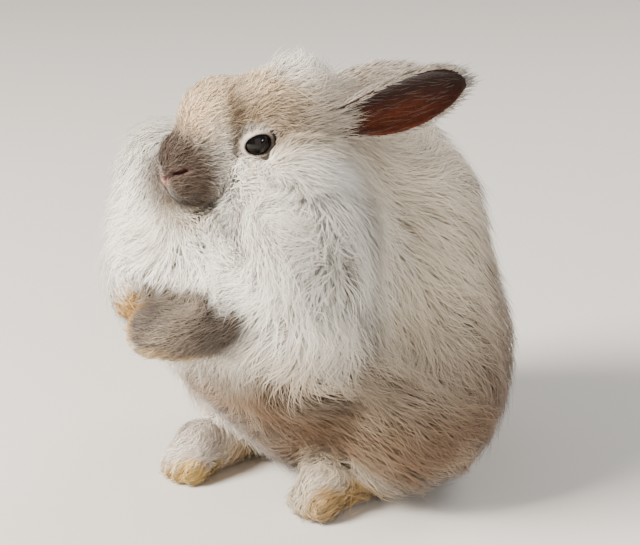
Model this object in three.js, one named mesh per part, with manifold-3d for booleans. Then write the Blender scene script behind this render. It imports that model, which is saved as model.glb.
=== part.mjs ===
// A young angora rabbit sitting up on its haunches, forepaws drawn up under the ruff.
// Millimetres, +Z up. The rabbit faces -Y, its left side is +X, and it sits on the plane z = 0.
// The coat is one body of flat tapered locks over a core that reaches half way out to their tips.
// It is parted into neck, torso, haunches and tail by thin curved cuts.
import * as THREE from "three";
import { mergeVertices } from "three/addons/utils/BufferGeometryUtils.js";
import Module from "manifold-3d";

const wasm = await Module();
wasm.setup();

// Driving dimensions
const GAP = 0.3; // clearance between neighbouring pieces
const BLEND = 14; // how softly two body masses run into each other
const FACE_BLEND = 6;
const WOOL_DEPTH = 26; // from the tips of the body wool to the skin
const FLUFF_DEPTH = 14; // the same on cheeks and crest
const HEAD_MARGIN = 2.5; // how far off the head's tips its parting cut runs
const FLOOR_SIZE = 400;
const WELD = 1e-3; // every point lies on a grid this fine, so near points are one point
const SLIVER = 0.15; // half thickness of what is cut out where two sheets of one solid touch
const SLIVER_ROUNDS = 6;
const HEAD = { at: [3.7, -47.3, 174], yaw: -23 }; // midway between the eyes, and its turn in degrees
const EYE = { radius: 7.4, at: [12.6, -1, 0], long: 6.9, high: 5.5, slant: 18 };
const LID = { radius: 1.6, sides: 4, around: 12 };
const EAR = {
  root: [15, 24, 6],
  length: 76,
  width: 15,
  thickness: 1.3,
  wrap: 1.9,
  rise: { left: 19, right: 5 },
  outward: 9,
};
const NOSTRIL = { at: [2.8, -37.6, -8.4], size: [2.3, 2.4, 0.9], turn: 0.5 };

const CLEFT = { at: [0, -35, -17], size: [0.6, 4, 5.5] };
const MOUTH = {
  points: [[0, -33.5, -22.5], [4, -31, -24.5], [9, -25, -23.5], [12, -17, -20.5]],
  radius: 0.8,
};

// Body masses out to the tips of the wool: centre, half sizes, and half size downwards
const TORSO = [
  { at: [0, 24, 58], size: [78, 70, 70], down: 66 },
  { at: [2, 18, 104], size: [68, 62, 76], down: 60 },
  { at: [-2, -24, 76], size: [56, 46, 60], down: 46 },
  { at: [40, -46, 100], size: [27, 28, 44], down: 40 },
  { at: [-42, -46, 98], size: [27, 28, 44], down: 38 },
];
const NECK = [
  { at: [-10, -56, 106], size: [58, 38, 44], down: 34 },
  { at: [32, -44, 138], size: [30, 32, 30], down: 34 },
  { at: [-36, -50, 146], size: [28, 32, 30], down: 36 },
  { at: [4, -14, 158], size: [38, 34, 30], down: 40 },
];
const TAIL = [{ at: [0, 88, 34], size: [20, 20, 28] }];
const HAUNCH = {
  left: [{ at: [58, 14, 44], size: [34, 44, 46] }],
  right: [{ at: [-58, 10, 44], size: [34, 44, 46] }],
};
// Head masses in its own frame, origin midway between the eyes, nose towards -Y
const SKULL = [
  { at: [0, 15, 3], size: [20, 31, 24] },
  { at: [0, -9, 5], size: [14, 18, 16] },
  { at: [0, -23, -8], size: [11, 12, 13] },
  { at: [0, -33, -9], size: [5, 5, 6] },
  { at: [5.5, -26, -17], size: [7.5, 8, 7.5] },
  { at: [-5.5, -26, -17], size: [7.5, 8, 7.5] },
  { at: [0, -17, -25], size: [6.5, 8, 8] },
];
const CHEEKS = [
  { at: [20, 12, -19], size: [18, 26, 20] },
  { at: [-20, 12, -19], size: [18, 26, 20] },
];
const CREST = [{ at: [0, 24, 16], size: [13, 14, 20] }];

// Limbs: points along the middle, and the half thickness at each
const FORELEG = {
  left: [[32, -54, 114], [22, -76, 104], [9, -90, 98], [-4, -95, 96]],
  right: [[-40, -52, 118], [-36, -66, 114], [-30, -80, 109], [-22, -88, 106]],
  radii: [12, 12.5, 12, 11],
};
const HIND_FOOT = {
  left: { toe: [29, -24], heel: [38, 44] },
  right: { toe: [-39, -40], heel: [-42, 28] },
  width: 12,
  height: 27,
};
const PAW_TOE = { count: 4, size: [3.4, 6, 5], spread: 4.6, reach: -4, drop: 3 };
const TOE = { count: 4, size: [4.2, 9, 7.5], spread: 5.6 };

// Locks: how many are spread over the mass, and their length, width and thickness
const LOCKS = {
  torso: { count: 74, length: 62, width: 28, thickness: 8 },
  neck: { count: 34, length: 48, width: 25, thickness: 7 },
  tail: { count: 8, length: 26, width: 18, thickness: 6 },
  cheek: { count: 60, length: 26, width: 13, thickness: 3.5 },
  crest: { count: 30, length: 22, width: 10, thickness: 4 },
};
const LOCK_PROFILE = [
  { along: 0, level: -0.72, width: 0.6, thickness: 0.6 },
  { along: 0.3, level: -0.42, width: 1, thickness: 1 },
  { along: 0.64, level: -0.16, width: 0.85, thickness: 0.75 },
  { along: 1, level: -0.01, width: 0, thickness: 0 },
];
const LOCK_SPREAD = 0.22; // random share by which a lock's sizes differ
const LOCK_SWAY = 0.35; // random turn of a lock off the lie, in radians

const radians = THREE.MathUtils.degToRad;
const vector = (p) => new THREE.Vector3(...p);

// A repeatable draw between -1 and 1
let seed = 2025;
function draw() {
  seed = (seed * 16807) % 2147483647;
  return (2 * seed) / 2147483647 - 1;
}

// Distance from point p to the surface of one egg-shaped mass, negative inside
function eggDistance(p, egg) {
  const [a, b, up] = egg.size;
  const x = p.x - egg.at[0];
  const y = p.y - egg.at[1];
  const z = p.z - egg.at[2];
  const c = z < 0 && egg.down ? egg.down : up;
  const near = Math.hypot(x / a, y / b, z / c);
  const slope = Math.hypot(x / (a * a), y / (b * b), z / (c * c));
  return slope < 1e-9 ? -Math.min(a, b, c) : (near * (near - 1)) / slope;
}

// Distance to several masses that run softly into one another
function massDistance(p, eggs, blend) {
  let d = eggDistance(p, eggs[0]);
  for (const egg of eggs.slice(1)) {
    const e = eggDistance(p, egg);
    const h = Math.max(blend - Math.abs(d - e), 0) / blend;
    d = Math.min(d, e) - (h * h * blend) / 4;
  }
  return d;
}

// The last point inside the field on the way in along a ray towards its start
function castOut(field, start, direction, reach) {
  const point = (r) => start.clone().addScaledVector(direction, r);
  let low = 0;
  let high = reach;
  for (let r = reach; r > 0; r -= 2) {
    if (field(point(r)) < 0) {
      low = r;
      break;
    }
    high = r;
  }
  for (let k = 0; k < 20; k++) {
    const middle = (low + high) / 2;
    if (field(point(middle)) < 0) low = middle;
    else high = middle;
  }
  return point(low);
}

// A unit sphere whose vertices are moved out from a centre to the surface of a field
function sculpted(sphere, centre, field, reach) {
  const at = sphere.getAttribute("position");
  for (let i = 0; i < at.count; i++) {
    const direction = new THREE.Vector3().fromBufferAttribute(at, i).normalize();
    const p = castOut(field, vector(centre), direction, reach);
    at.setXYZ(i, p.x, p.y, p.z);
  }
  return sphere;
}

// A closed geometry as a solid with its faces outwards, moved by a matrix if one is given
function solid(geometry, matrix) {
  const g = geometry.clone();
  for (const name of ["normal", "uv"]) g.deleteAttribute(name);
  if (matrix) g.applyMatrix4(matrix);
  const at = g.getAttribute("position");
  for (let i = 0; i < at.array.length; i++) at.array[i] = Math.round(at.array[i] / WELD) * WELD;
  const merged = mergeVertices(g, WELD / 2);
  const index = merged.index.array;
  const faces = [];
  for (let i = 0; i < index.length; i += 3) {
    const [a, b, c] = [index[i], index[i + 1], index[i + 2]];
    if (a !== b && b !== c && a !== c) faces.push(a, b, c);
  }
  const vertProperties = merged.attributes.position.array;
  const made = (list) =>
    new wasm.Manifold(new wasm.Mesh({ numProp: 3, vertProperties, triVerts: new Uint32Array(list) }));
  const body = made(faces);
  return body.volume() < 0 ? made(faces.reverse()) : body;
}

const joined = (solids) => wasm.Manifold.union(solids);
const moved = (made, matrix) => solid(geometryOf(made), matrix);

// The largest closed surface of a solid, as a geometry
function geometryOf(made) {
  const body = made.decompose().sort((a, b) => b.volume() - a.volume())[0];
  const mesh = body.getMesh();
  return new THREE.BufferGeometry()
    .setAttribute("position", new THREE.BufferAttribute(new Float32Array(mesh.vertProperties), 3))
    .setIndex(new THREE.BufferAttribute(new Uint32Array(mesh.triVerts), 1));
}

// Edges where two sheets of a surface touch, so that more than two faces share them
function touchingEdges(geometry) {
  const index = geometry.index.array;
  const faces = new Map();
  for (let i = 0; i < index.length; i += 3) {
    for (let k = 0; k < 3; k++) {
      const ends = [index[i + k], index[i + ((k + 1) % 3)]].sort((a, b) => a - b);
      const key = ends.join(" ");
      faces.set(key, { ends, count: (faces.get(key)?.count ?? 0) + 1 });
    }
  }
  return [...faces.values()].filter((edge) => edge.count > 2).map((edge) => edge.ends);
}

// A sliver that runs along an edge, a little thicker and longer than it
function sliver(geometry, [first, last], thickness) {
  const at = geometry.getAttribute("position");
  const a = new THREE.Vector3().fromBufferAttribute(at, first);
  const b = new THREE.Vector3().fromBufferAttribute(at, last);
  const along = b.clone().sub(a);
  const turn = new THREE.Quaternion().setFromUnitVectors(new THREE.Vector3(0, 0, 1), along.clone().normalize());
  const size = new THREE.Vector3(thickness, thickness, along.length() / 2 + thickness);
  const place = new THREE.Matrix4().compose(a.lerp(b, 0.5), turn, size);
  return solid(new THREE.OctahedronGeometry(1, 0), place);
}

// A solid moved to its place, with a sliver cut out wherever two of its sheets touch
function placed(geometry, matrix) {
  let body = solid(geometry, matrix);
  for (let round = 0; round < SLIVER_ROUNDS; round++) {
    const shape = mergeVertices(geometryOf(body), WELD / 2);
    const edges = touchingEdges(shape);
    if (!edges.length) return shape;
    const cuts = edges.map((ends) => sliver(shape, ends, SLIVER * (1 + round / 3)));
    body = solid(geometryOf(body.subtract(joined(cuts))));
  }
  throw new Error("sheets still touch after the last round");
}

function bodyMass(eggs, centre, grow, around, blend = BLEND) {
  const ball = new THREE.SphereGeometry(1, around, Math.round(around * 0.7)).rotateX(Math.PI / 2);
  return solid(sculpted(ball, centre, (p) => massDistance(p, eggs, blend) - grow, 200));
}

function egg(at, size, turn = 0) {
  const place = new THREE.Matrix4().makeTranslation(...at);
  const stretch = new THREE.Matrix4().makeScale(...size);
  const ball = new THREE.OctahedronGeometry(1, 1);
  return solid(ball, place.multiply(new THREE.Matrix4().makeRotationZ(turn)).multiply(stretch));
}

// A limb of round section along a smooth curve, its ends rounded
function limb(points, radii, grow = 0, rings = 9, sides = 9) {
  const curve = new THREE.CatmullRomCurve3(points.map(vector));
  const shape = new THREE.SphereGeometry(1, sides, rings);
  const at = shape.getAttribute("position");
  const roundShare = radii[0] / curve.getLength();
  for (let i = 0; i < at.count; i++) {
    const spread = Math.hypot(at.getX(i), at.getZ(i));
    const t = THREE.MathUtils.clamp(Math.acos(THREE.MathUtils.clamp(at.getY(i), -1, 1)) / Math.PI, 0, 1);
    const fromEnd = Math.min(t, 1 - t) / Math.max(roundShare, 0.12);
    const round = fromEnd < 1 ? Math.sqrt(1 - (1 - fromEnd) ** 2) : 1;
    const place = t * (radii.length - 1);
    const before = Math.min(Math.floor(place), radii.length - 2);
    const radius = THREE.MathUtils.lerp(radii[before], radii[before + 1], place - before);
    const along = curve.getTangent(t);
    const side = new THREE.Vector3(0, 0, 1).addScaledVector(along, -along.z).normalize();
    const other = new THREE.Vector3().crossVectors(side, along);
    const reach = spread < 1e-6 ? 0 : (radius * round + grow) / spread;
    const p = curve.getPoint(t).addScaledVector(along, grow * (2 * t - 1));
    p.addScaledVector(side, at.getX(i) * reach).addScaledVector(other, at.getZ(i) * reach);
    at.setXYZ(i, p.x, p.y, p.z);
  }
  return solid(shape);
}

function slopeOf(field, p) {
  const h = 0.5;
  const g = ["x", "y", "z"].map((axis) => {
    const ahead = p.clone();
    const behind = p.clone();
    ahead[axis] += h;
    behind[axis] -= h;
    return field(ahead) - field(behind);
  });
  return vector(g).normalize();
}

// One flat tapered lock: it leaves the core at its root and bends over to lie along the coat
function lock(field, root, lie, spec, depth) {
  const grade = () => 1 + LOCK_SPREAD * draw();
  const length = spec.length * grade();
  const width = (spec.width * grade()) / 2;
  const thickness = (spec.thickness * grade()) / 2;
  const sway = LOCK_SWAY * draw();
  const curl = LOCK_SWAY * draw();
  const stations = [];
  let p = root.clone();
  let before = 0;
  for (const part of LOCK_PROFILE) {
    const normal = slopeOf(field, p);
    const along = lie(p).addScaledVector(normal, -lie(p).dot(normal)).normalize();
    along.applyAxisAngle(normal, sway + curl * part.along);
    p = p.clone().addScaledVector(along, length * (part.along - before));
    before = part.along;
    const out = slopeOf(field, p);
    for (let k = 0; k < 3; k++) p.addScaledVector(out, depth * part.level - field(p));
    const side = new THREE.Vector3().crossVectors(along, out).normalize();
    stations.push({ p: p.clone(), out, side, width: width * part.width, thickness: thickness * part.thickness });
  }
  const blade = new THREE.ConeGeometry(1, 1, 3, LOCK_PROFILE.length - 1);
  const at = blade.getAttribute("position");
  for (let i = 0; i < at.count; i++) {
    const station = stations[Math.round((at.getY(i) + 0.5) * (LOCK_PROFILE.length - 1))];
    const spread = Math.hypot(at.getX(i), at.getZ(i));
    const across = spread < 1e-6 ? 0 : (at.getX(i) / spread) * station.width;
    const proud = spread < 1e-6 ? 0 : (at.getZ(i) / spread) * station.thickness;
    const q = station.p.clone().addScaledVector(station.side, across).addScaledVector(station.out, proud);
    at.setXYZ(i, q.x, q.y, q.z);
  }
  return solid(blade);
}

// Locks spread evenly round a centre, their roots on the core of the mass where keep allows
function coatOf(eggs, centre, lie, spec, depth, keep, blend = BLEND) {
  const field = (p) => massDistance(p, eggs, blend);
  const core = (p) => field(p) + depth / 2;
  const turn = Math.PI * (3 - Math.sqrt(5));
  const made = [];
  for (let i = 0; i < spec.count; i++) {
    const z = 1 - (2 * i + 1) / spec.count;
    const r = Math.sqrt(1 - z * z);
    const direction = new THREE.Vector3(r * Math.cos(turn * i), r * Math.sin(turn * i), z);
    const root = castOut(core, vector(centre), direction, 200);
    if (keep(root)) made.push(lock(field, root, lie, spec, depth));
  }
  return made;
}

const floorBlock = solid(
  new THREE.BoxGeometry(FLOOR_SIZE, FLOOR_SIZE, FLOOR_SIZE),
  new THREE.Matrix4().makeTranslation(0, 0, -FLOOR_SIZE / 2),
);

// The head's frame in the rabbit's
const headFrame = new THREE.Group();
headFrame.position.set(...HEAD.at);
headFrame.rotation.z = radians(HEAD.yaw);
headFrame.updateMatrixWorld(true);
const toHead = headFrame.matrixWorld.clone().invert();

function eyeball(side, grow) {
  const [x, y, z] = EYE.at;
  const ball = new THREE.IcosahedronGeometry(EYE.radius + grow, 2);
  return solid(ball, new THREE.Matrix4().makeTranslation(side * x, y, z));
}

// A lid: a rounded rim that runs round the almond opening and hugs the eyeball
function lid(side) {
  const [x, y, z] = EYE.at;
  const rim = new THREE.TorusGeometry(1, LID.radius, LID.sides, LID.around);
  const at = rim.getAttribute("position");
  const slant = radians(EYE.slant);
  for (let i = 0; i < at.count; i++) {
    const turn = Math.atan2(at.getY(i), at.getX(i));
    const outward = Math.hypot(at.getX(i), at.getY(i)) - 1;
    const reach = 1 + outward / EYE.long;
    const long = Math.cos(turn) * EYE.long * reach;
    const high = Math.sin(turn) * EYE.high * reach * (1 - 0.2 * Math.abs(Math.cos(turn)) ** 3);
    const back = Math.cos(slant) * long - Math.sin(slant) * high;
    const up = Math.sin(slant) * long + Math.cos(slant) * high;
    const depth = Math.sqrt(Math.max(EYE.radius ** 2 - (long * long + high * high), 4));
    at.setXYZ(i, side * (x + depth + at.getZ(i)), y + back, z + up);
  }
  return solid(rim);
}

// An ear: a leaf rolled into a cup that opens outwards, narrow at its root and rounded at its tip
function ear(name, grow = 0) {
  const side = name === "left" ? 1 : -1;
  const shape = new THREE.SphereGeometry(1, 12, 12);
  const at = shape.getAttribute("position");
  const root = new THREE.Vector3(side * EAR.root[0], EAR.root[1], EAR.root[2]);
  const along = new THREE.Vector3(side * EAR.outward, EAR.length, EAR.rise[name]).normalize();
  const open = new THREE.Vector3(side * 0.79, -0.32, -0.45);
  open.addScaledVector(along, -open.dot(along)).normalize();
  const across = new THREE.Vector3().crossVectors(along, open);
  for (let i = 0; i < at.count; i++) {
    const t = (1 - at.getY(i)) / 2;
    const ring = Math.hypot(at.getX(i), at.getZ(i));
    const share = ring < 1e-6 ? 0 : at.getX(i) / ring;
    const skin = ring < 1e-6 ? 0 : at.getZ(i) / ring;
    const swell = Math.sin(Math.PI * Math.pow(t, 0.8)) ** 0.6;
    const width = EAR.width * (0.25 + 0.75 * t ** 0.5) * swell;
    const wrap = THREE.MathUtils.lerp(EAR.wrap, 0.75, t);
    const thick = (EAR.thickness * (1.5 - 0.8 * t) * Math.min(1, ring * 3) + grow) * skin;
    const radius = width / wrap + 2;
    const bend = share * (wrap + (1.5 * grow) / radius);
    const p = root.clone().addScaledVector(along, (EAR.length + 2 * grow) * t - grow);
    p.addScaledVector(across, Math.sin(bend) * (radius - thick));
    p.addScaledVector(open, (1 - Math.cos(bend)) * radius + thick * Math.cos(bend) - radius * 0.4);
    at.setXYZ(i, p.x, p.y, p.z);
  }
  return solid(shape);
}

// A foreleg, with its toes side by side at the tip
function foreleg(points, grow) {
  const parts = [limb(points, FORELEG.radii, grow)];
  const tip = vector(points[points.length - 1]);
  const along = tip.clone().sub(vector(points[points.length - 2])).normalize();
  const side = new THREE.Vector3(along.y, -along.x, 0).normalize();
  const [a, b, c] = PAW_TOE.size;
  for (let k = 0; k < PAW_TOE.count; k++) {
    const off = (k - (PAW_TOE.count - 1) / 2) * PAW_TOE.spread;
    const at = tip.clone().addScaledVector(side, off).addScaledVector(along, PAW_TOE.reach);
    const turn = Math.atan2(along.y, along.x) + Math.PI / 2;
    parts.push(egg([at.x, at.y, at.z - PAW_TOE.drop], [a + grow, b + grow, c + grow], turn));
  }
  return joined(parts);
}

// A hind foot laid flat from toes to heel, four toes at its front
function hindFoot(leg, grow) {
  const toe = vector([...leg.toe, 0]);
  const heel = vector([...leg.heel, 0]);
  const { width, height } = HIND_FOOT;
  const eggs = [];
  for (let k = 0; k <= 4; k++) {
    const p = toe.clone().lerp(heel, k / 4);
    eggs.push({ at: [p.x, p.y, height * 0.45], size: [width, width + 3, height * 0.55] });
  }
  const middle = toe.clone().lerp(heel, 0.5);
  const ball = new THREE.SphereGeometry(1, 14, 10).rotateX(Math.PI / 2);
  const field = (p) => massDistance(p, eggs, 4) - grow;
  const parts = [solid(sculpted(ball, [middle.x, middle.y, height * 0.45], field, 90))];
  const turn = Math.atan2(heel.x - toe.x, toe.y - heel.y) + Math.PI;
  for (let k = 0; k < TOE.count; k++) {
    const off = (k - (TOE.count - 1) / 2) * TOE.spread;
    const [a, b, c] = TOE.size;
    const drop = 0.9 * Math.abs(off);
    parts.push(egg([toe.x + off, toe.y - width + drop * 0.5, c * 0.8], [a + grow, b + grow, c + grow], turn));
  }
  return joined(parts);
}

const pieces = [];
const inWorld = new THREE.Matrix4();

function add(frame, name, made, colour, roughness = 0.9) {
  pieces.push({ name, colour, roughness, geometry: geometryOf(made).applyMatrix4(frame) });
}

// Where the masses are cast from, and which way the coat lies on each
const TORSO_CENTRE = [0, 4, 88];
const NECK_CENTRE = [-2, -42, 130];
const HEAD_CENTRE = [0, 4, -4];
const BODY = [...TORSO, ...HAUNCH.left, ...HAUNCH.right];
const bodyLie = (p) => new THREE.Vector3(0.004 * p.x, 0.6, -1);
const ruffLie = (p) => new THREE.Vector3(0.012 * (p.x + 6), 0.008 * (p.y + 40) - 0.1, -1);
const tailLie = () => new THREE.Vector3(0, 0.5, -1);
const fluffLie = (p) => new THREE.Vector3(0.01 * p.x, 1, 0.05 * p.z + 0.2);
const bodyCore = (p) => massDistance(p, BODY, BLEND) + WOOL_DEPTH / 2;
const neckCore = (p) => massDistance(p, NECK, BLEND) + WOOL_DEPTH / 2;
const tailCore = (p) => massDistance(p, TAIL, BLEND) + FLUFF_DEPTH / 2;
const underSkull = (p) => tipsOfHead(p.clone().applyMatrix4(toHead)) < -LOCKS.neck.thickness / 2;
const aboveFloor = (p) => p.z > LOCKS.torso.thickness * 1.5;

// Tips of the short fur and fluff of the head, in its own frame
const HEAD_EGGS = [...SKULL, ...CHEEKS, ...CREST];
const tipsOfHead = (p) => massDistance(p, HEAD_EGGS, FACE_BLEND);

// The whole coat of the body: cores half way out to the tips, and the locks over them
function coat() {
  const cores = [
    bodyMass(BODY, TORSO_CENTRE, -WOOL_DEPTH / 2, 22),
    bodyMass(NECK, NECK_CENTRE, -WOOL_DEPTH / 2, 18),
    bodyMass(TAIL, TAIL[0].at, -FLUFF_DEPTH / 2, 12),
  ];
  const onBody = (p) => aboveFloor(p) && neckCore(p) > 0 && tailCore(p) > 0 && !underSkull(p);
  const onNeck = (p) => bodyCore(p) > 0 && !underSkull(p);
  const onTail = (p) => aboveFloor(p) && bodyCore(p) > 0;
  const torso = coatOf(BODY, TORSO_CENTRE, bodyLie, LOCKS.torso, WOOL_DEPTH, onBody);
  const neck = coatOf(NECK, NECK_CENTRE, ruffLie, LOCKS.neck, WOOL_DEPTH, onNeck);
  const tail = coatOf(TAIL, TAIL[0].at, tailLie, LOCKS.tail, FLUFF_DEPTH, onTail);
  return joined([...cores, ...torso, ...neck, ...tail]);
}

// The head: bare face at its own surface, cheeks and crest half way out with locks over them
function headCore(p) {
  const bare = massDistance(p, SKULL, FACE_BLEND);
  const fluffy = massDistance(p, [...CHEEKS, ...CREST], FACE_BLEND) + FLUFF_DEPTH / 2;
  const h = Math.max(FACE_BLEND - Math.abs(bare - fluffy), 0) / FACE_BLEND;
  return Math.min(bare, fluffy) - (h * h * FACE_BLEND) / 4;
}

function sculptedHead(field, around) {
  const ball = new THREE.SphereGeometry(1, around, Math.round(around * 0.8));
  return solid(sculpted(ball, HEAD_CENTRE, field, 80));
}

function fluff() {
  const turn = Math.PI * (3 - Math.sqrt(5));
  const made = [];
  for (const [spec, where] of [[LOCKS.cheek, CHEEKS], [LOCKS.crest, CREST]]) {
    const near = (p) => massDistance(p, where, FACE_BLEND) < 0 && tipsOfHead(p) < -FLUFF_DEPTH / 4;
    for (let i = 0; i < spec.count; i++) {
      const z = 1 - (2 * i + 1) / spec.count;
      const r = Math.sqrt(1 - z * z);
      const direction = new THREE.Vector3(r * Math.cos(turn * i), r * Math.sin(turn * i), z);
      const root = castOut(headCore, vector(HEAD_CENTRE), direction, 80);
      if (near(root)) made.push(lock(tipsOfHead, root, fluffLie, spec, FLUFF_DEPTH));
    }
  }
  return made;
}

// Nostrils, the cleft of the lip and the line of the mouth, as the solids to cut out
function faceCuts() {
  const cuts = [egg(CLEFT.at, CLEFT.size)];
  for (const side of [1, -1]) {
    const [x, y, z] = NOSTRIL.at;
    cuts.push(egg([side * x, y, z], NOSTRIL.size, side * NOSTRIL.turn));
    const line = MOUTH.points.map(([mx, my, mz]) => [side * mx, my, mz]);
    cuts.push(limb(line, [MOUTH.radius, MOUTH.radius], 0, 8, 6));
  }
  return cuts;
}

const headRegion = sculptedHead((p) => tipsOfHead(p) - HEAD_MARGIN, 14);
const headRegionGrown = sculptedHead((p) => tipsOfHead(p) - HEAD_MARGIN - GAP, 14);
const wholeCoat = coat();
const ears = { left: ear("left"), right: ear("right") };
const earsGrown = joined([ear("left", GAP), ear("right", GAP)]);
const eyesGrown = joined([eyeball(1, GAP), eyeball(-1, GAP)]);
const underHead = bodyMass(NECK, NECK_CENTRE, -WOOL_DEPTH / 2, 12);
const wholeHead = joined([sculptedHead(headCore, 34), lid(1), lid(-1), moved(underHead, toHead), ...fluff()]);
const head = wholeHead.intersect(headRegion).subtract(joined([eyesGrown, earsGrown, ...faceCuts()]));
add(headFrame.matrixWorld, "head", head, 0xc9b8a4);
add(headFrame.matrixWorld, "ear_left", ears.left, 0xbfb1a2);
add(headFrame.matrixWorld, "ear_right", ears.right, 0xbfb1a2);
add(headFrame.matrixWorld, "eye_left", eyeball(1, 0), 0x0c0a09, 0.15);
add(headFrame.matrixWorld, "eye_right", eyeball(-1, 0), 0x0c0a09, 0.15);
const headCut = moved(joined([headRegionGrown, earsGrown]), headFrame.matrixWorld);

const forelegs = {};
for (const name of ["left", "right"]) {
  forelegs[name] = { made: foreleg(FORELEG[name], 0), grown: foreleg(FORELEG[name], GAP) };
}
forelegs.right.made = forelegs.right.made.subtract(forelegs.left.grown);
const feet = {};
for (const name of ["left", "right"]) {
  add(inWorld, "foreleg_" + name, forelegs[name].made.subtract(headCut), 0x9c9285);
  feet[name] = hindFoot(HIND_FOOT[name], GAP);
  add(inWorld, "hind_foot_" + name, hindFoot(HIND_FOOT[name], 0).subtract(floorBlock), 0xd8cdbd);
}
const limbsCut = joined([forelegs.left.grown, forelegs.right.grown, feet.left, feet.right, floorBlock, headCut]);

const neckRegion = (grow) => bodyMass(NECK, NECK_CENTRE, 3 + grow, 14);
const tailRegion = (grow) => bodyMass(TAIL, TAIL[0].at, 1 + grow, 10);
const haunchRegion = (name, grow) => bodyMass(HAUNCH[name], HAUNCH[name][0].at, 1 + grow, 12);
const neckCut = neckRegion(GAP);
const tailCut = tailRegion(GAP);
const haunchCuts = joined([haunchRegion("left", GAP), haunchRegion("right", GAP)]);
add(inWorld, "neck", wholeCoat.intersect(neckRegion(0)).subtract(limbsCut), 0xe8e2d8);
add(inWorld, "tail", wholeCoat.intersect(tailRegion(0)).subtract(limbsCut), 0xe8e2d8);
for (const name of ["left", "right"]) {
  const haunch = wholeCoat.intersect(haunchRegion(name, 0)).subtract(joined([limbsCut, neckCut, tailCut]));
  add(inWorld, "haunch_" + name, haunch, 0xbfae9b);
}
add(inWorld, "torso", wholeCoat.subtract(joined([limbsCut, neckCut, tailCut, haunchCuts])), 0xcdbfae);

// The origin is under the middle of the model, on the floor
const box = new THREE.Box3();
for (const { geometry } of pieces) {
  geometry.computeBoundingBox();
  box.union(geometry.boundingBox);
}
const middle = box.getCenter(new THREE.Vector3());
const rabbit = new THREE.Group();
for (const { name, colour, roughness, geometry } of pieces) {
  const body = placed(geometry, new THREE.Matrix4().makeTranslation(-middle.x, -middle.y, 0));
  const mesh = new THREE.Mesh(body, new THREE.MeshStandardMaterial({ color: colour, roughness, metalness: 0 }));
  mesh.name = name;
  rabbit.add(mesh);
}

export default rabbit;
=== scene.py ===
"""Looks of a still, life-size model of a young long-haired rabbit, sitting with its forepaws raised.

Lengths are in millimetres in the maker's own frame until Place.metres turns them into the row frame.
"""

import logging
import math
from contextlib import contextmanager
from dataclasses import dataclass, field, replace
from enum import Enum

import bpy
import numpy as np
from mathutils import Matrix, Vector
from mathutils.kdtree import KDTree


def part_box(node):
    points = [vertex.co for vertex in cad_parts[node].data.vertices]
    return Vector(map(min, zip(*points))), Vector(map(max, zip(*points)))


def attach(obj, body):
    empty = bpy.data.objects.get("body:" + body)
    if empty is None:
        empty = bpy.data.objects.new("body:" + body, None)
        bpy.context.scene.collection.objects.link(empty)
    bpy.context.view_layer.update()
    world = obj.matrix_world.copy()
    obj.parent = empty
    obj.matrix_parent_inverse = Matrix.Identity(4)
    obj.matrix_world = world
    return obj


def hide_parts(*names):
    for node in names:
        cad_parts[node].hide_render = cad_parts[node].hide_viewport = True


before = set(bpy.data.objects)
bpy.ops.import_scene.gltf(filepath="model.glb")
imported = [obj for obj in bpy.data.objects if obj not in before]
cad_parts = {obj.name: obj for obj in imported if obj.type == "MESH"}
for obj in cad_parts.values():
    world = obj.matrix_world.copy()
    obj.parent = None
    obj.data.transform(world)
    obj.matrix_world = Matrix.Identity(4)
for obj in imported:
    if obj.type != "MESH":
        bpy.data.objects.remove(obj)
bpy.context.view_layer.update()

Array = np.ndarray
Piece = bpy.types.Object
Finish = bpy.types.Material
Triple = tuple[float, float, float]
Line = tuple[Triple, ...]
Strands = dict[str, Array]
MM = 0.001
SEED = 2025
BAKE_MAP = "OFBake"
UNWRAP_ANGLE = math.radians(66)
LEAST_CORE = 0.35
FLOOR_GAP = 0.5
log = logging.getLogger("rabbit")


class Side(Enum):
    """The animal's own left and right, as the sign of x in the head's frame."""

    LEFT = 1
    RIGHT = -1


class Cover(Enum):
    """The kinds of coat that grow on the skin, by the mass that carries them."""

    WOOL = 0
    RUFF = 1
    TAIL = 2
    FACE = 3
    CHEEK = 4
    CREST = 5
    PAW = 6
    FOOT = 7


@dataclass(frozen=True)
class Egg:
    """An egg-shaped mass.

    Args:
        at: its centre.
        size: half sizes along x, y and z.
        down: half size downwards, or 0 where it is the same as upwards.
    """

    at: Triple
    size: Triple
    down: float = 0.0


@dataclass(frozen=True)
class Head:
    """The head's own frame: its origin midway between the eyes, nose towards -Y."""

    at: Triple = (3.7, -47.3, 174.0)
    yaw: float = -23.0

    def local(self, points: Array) -> Array:
        """Points of the maker's frame in the head's frame."""
        turn = math.radians(self.yaw)
        rel = points - np.array(self.at)
        x = rel[:, 0] * math.cos(turn) + rel[:, 1] * math.sin(turn)
        y = -rel[:, 0] * math.sin(turn) + rel[:, 1] * math.cos(turn)
        return np.column_stack([x, y, rel[:, 2]])

    def turned(self, directions: Array) -> Array:
        """Directions of the head's frame in the maker's frame."""
        turn = math.radians(self.yaw)
        x = directions[:, 0] * math.cos(turn) - directions[:, 1] * math.sin(turn)
        y = directions[:, 0] * math.sin(turn) + directions[:, 1] * math.cos(turn)
        return np.column_stack([x, y, directions[:, 2]])

    def world(self, points: Array) -> Array:
        """Points of the head's frame in the maker's frame."""
        return self.turned(points) + np.array(self.at)


@dataclass(frozen=True)
class Region:
    """A part of the head, alike on both sides, by its half width, back, top and bottom."""

    half: float
    back: float
    top: float
    bottom: float = -math.inf

    def holds(self, local: Array) -> Array:
        """Which points of the head's frame lie in it."""
        x, y, z = local.T
        return (np.abs(x) < self.half) & (y < self.back) & (z < self.top) & (z > self.bottom)


FINE_FACE = Region(26, 14, 30, -36)
CARVED_FACE = Region(30, 16, 30, -36)
FINE_NOSE = Region(9, -26, -2)


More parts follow.
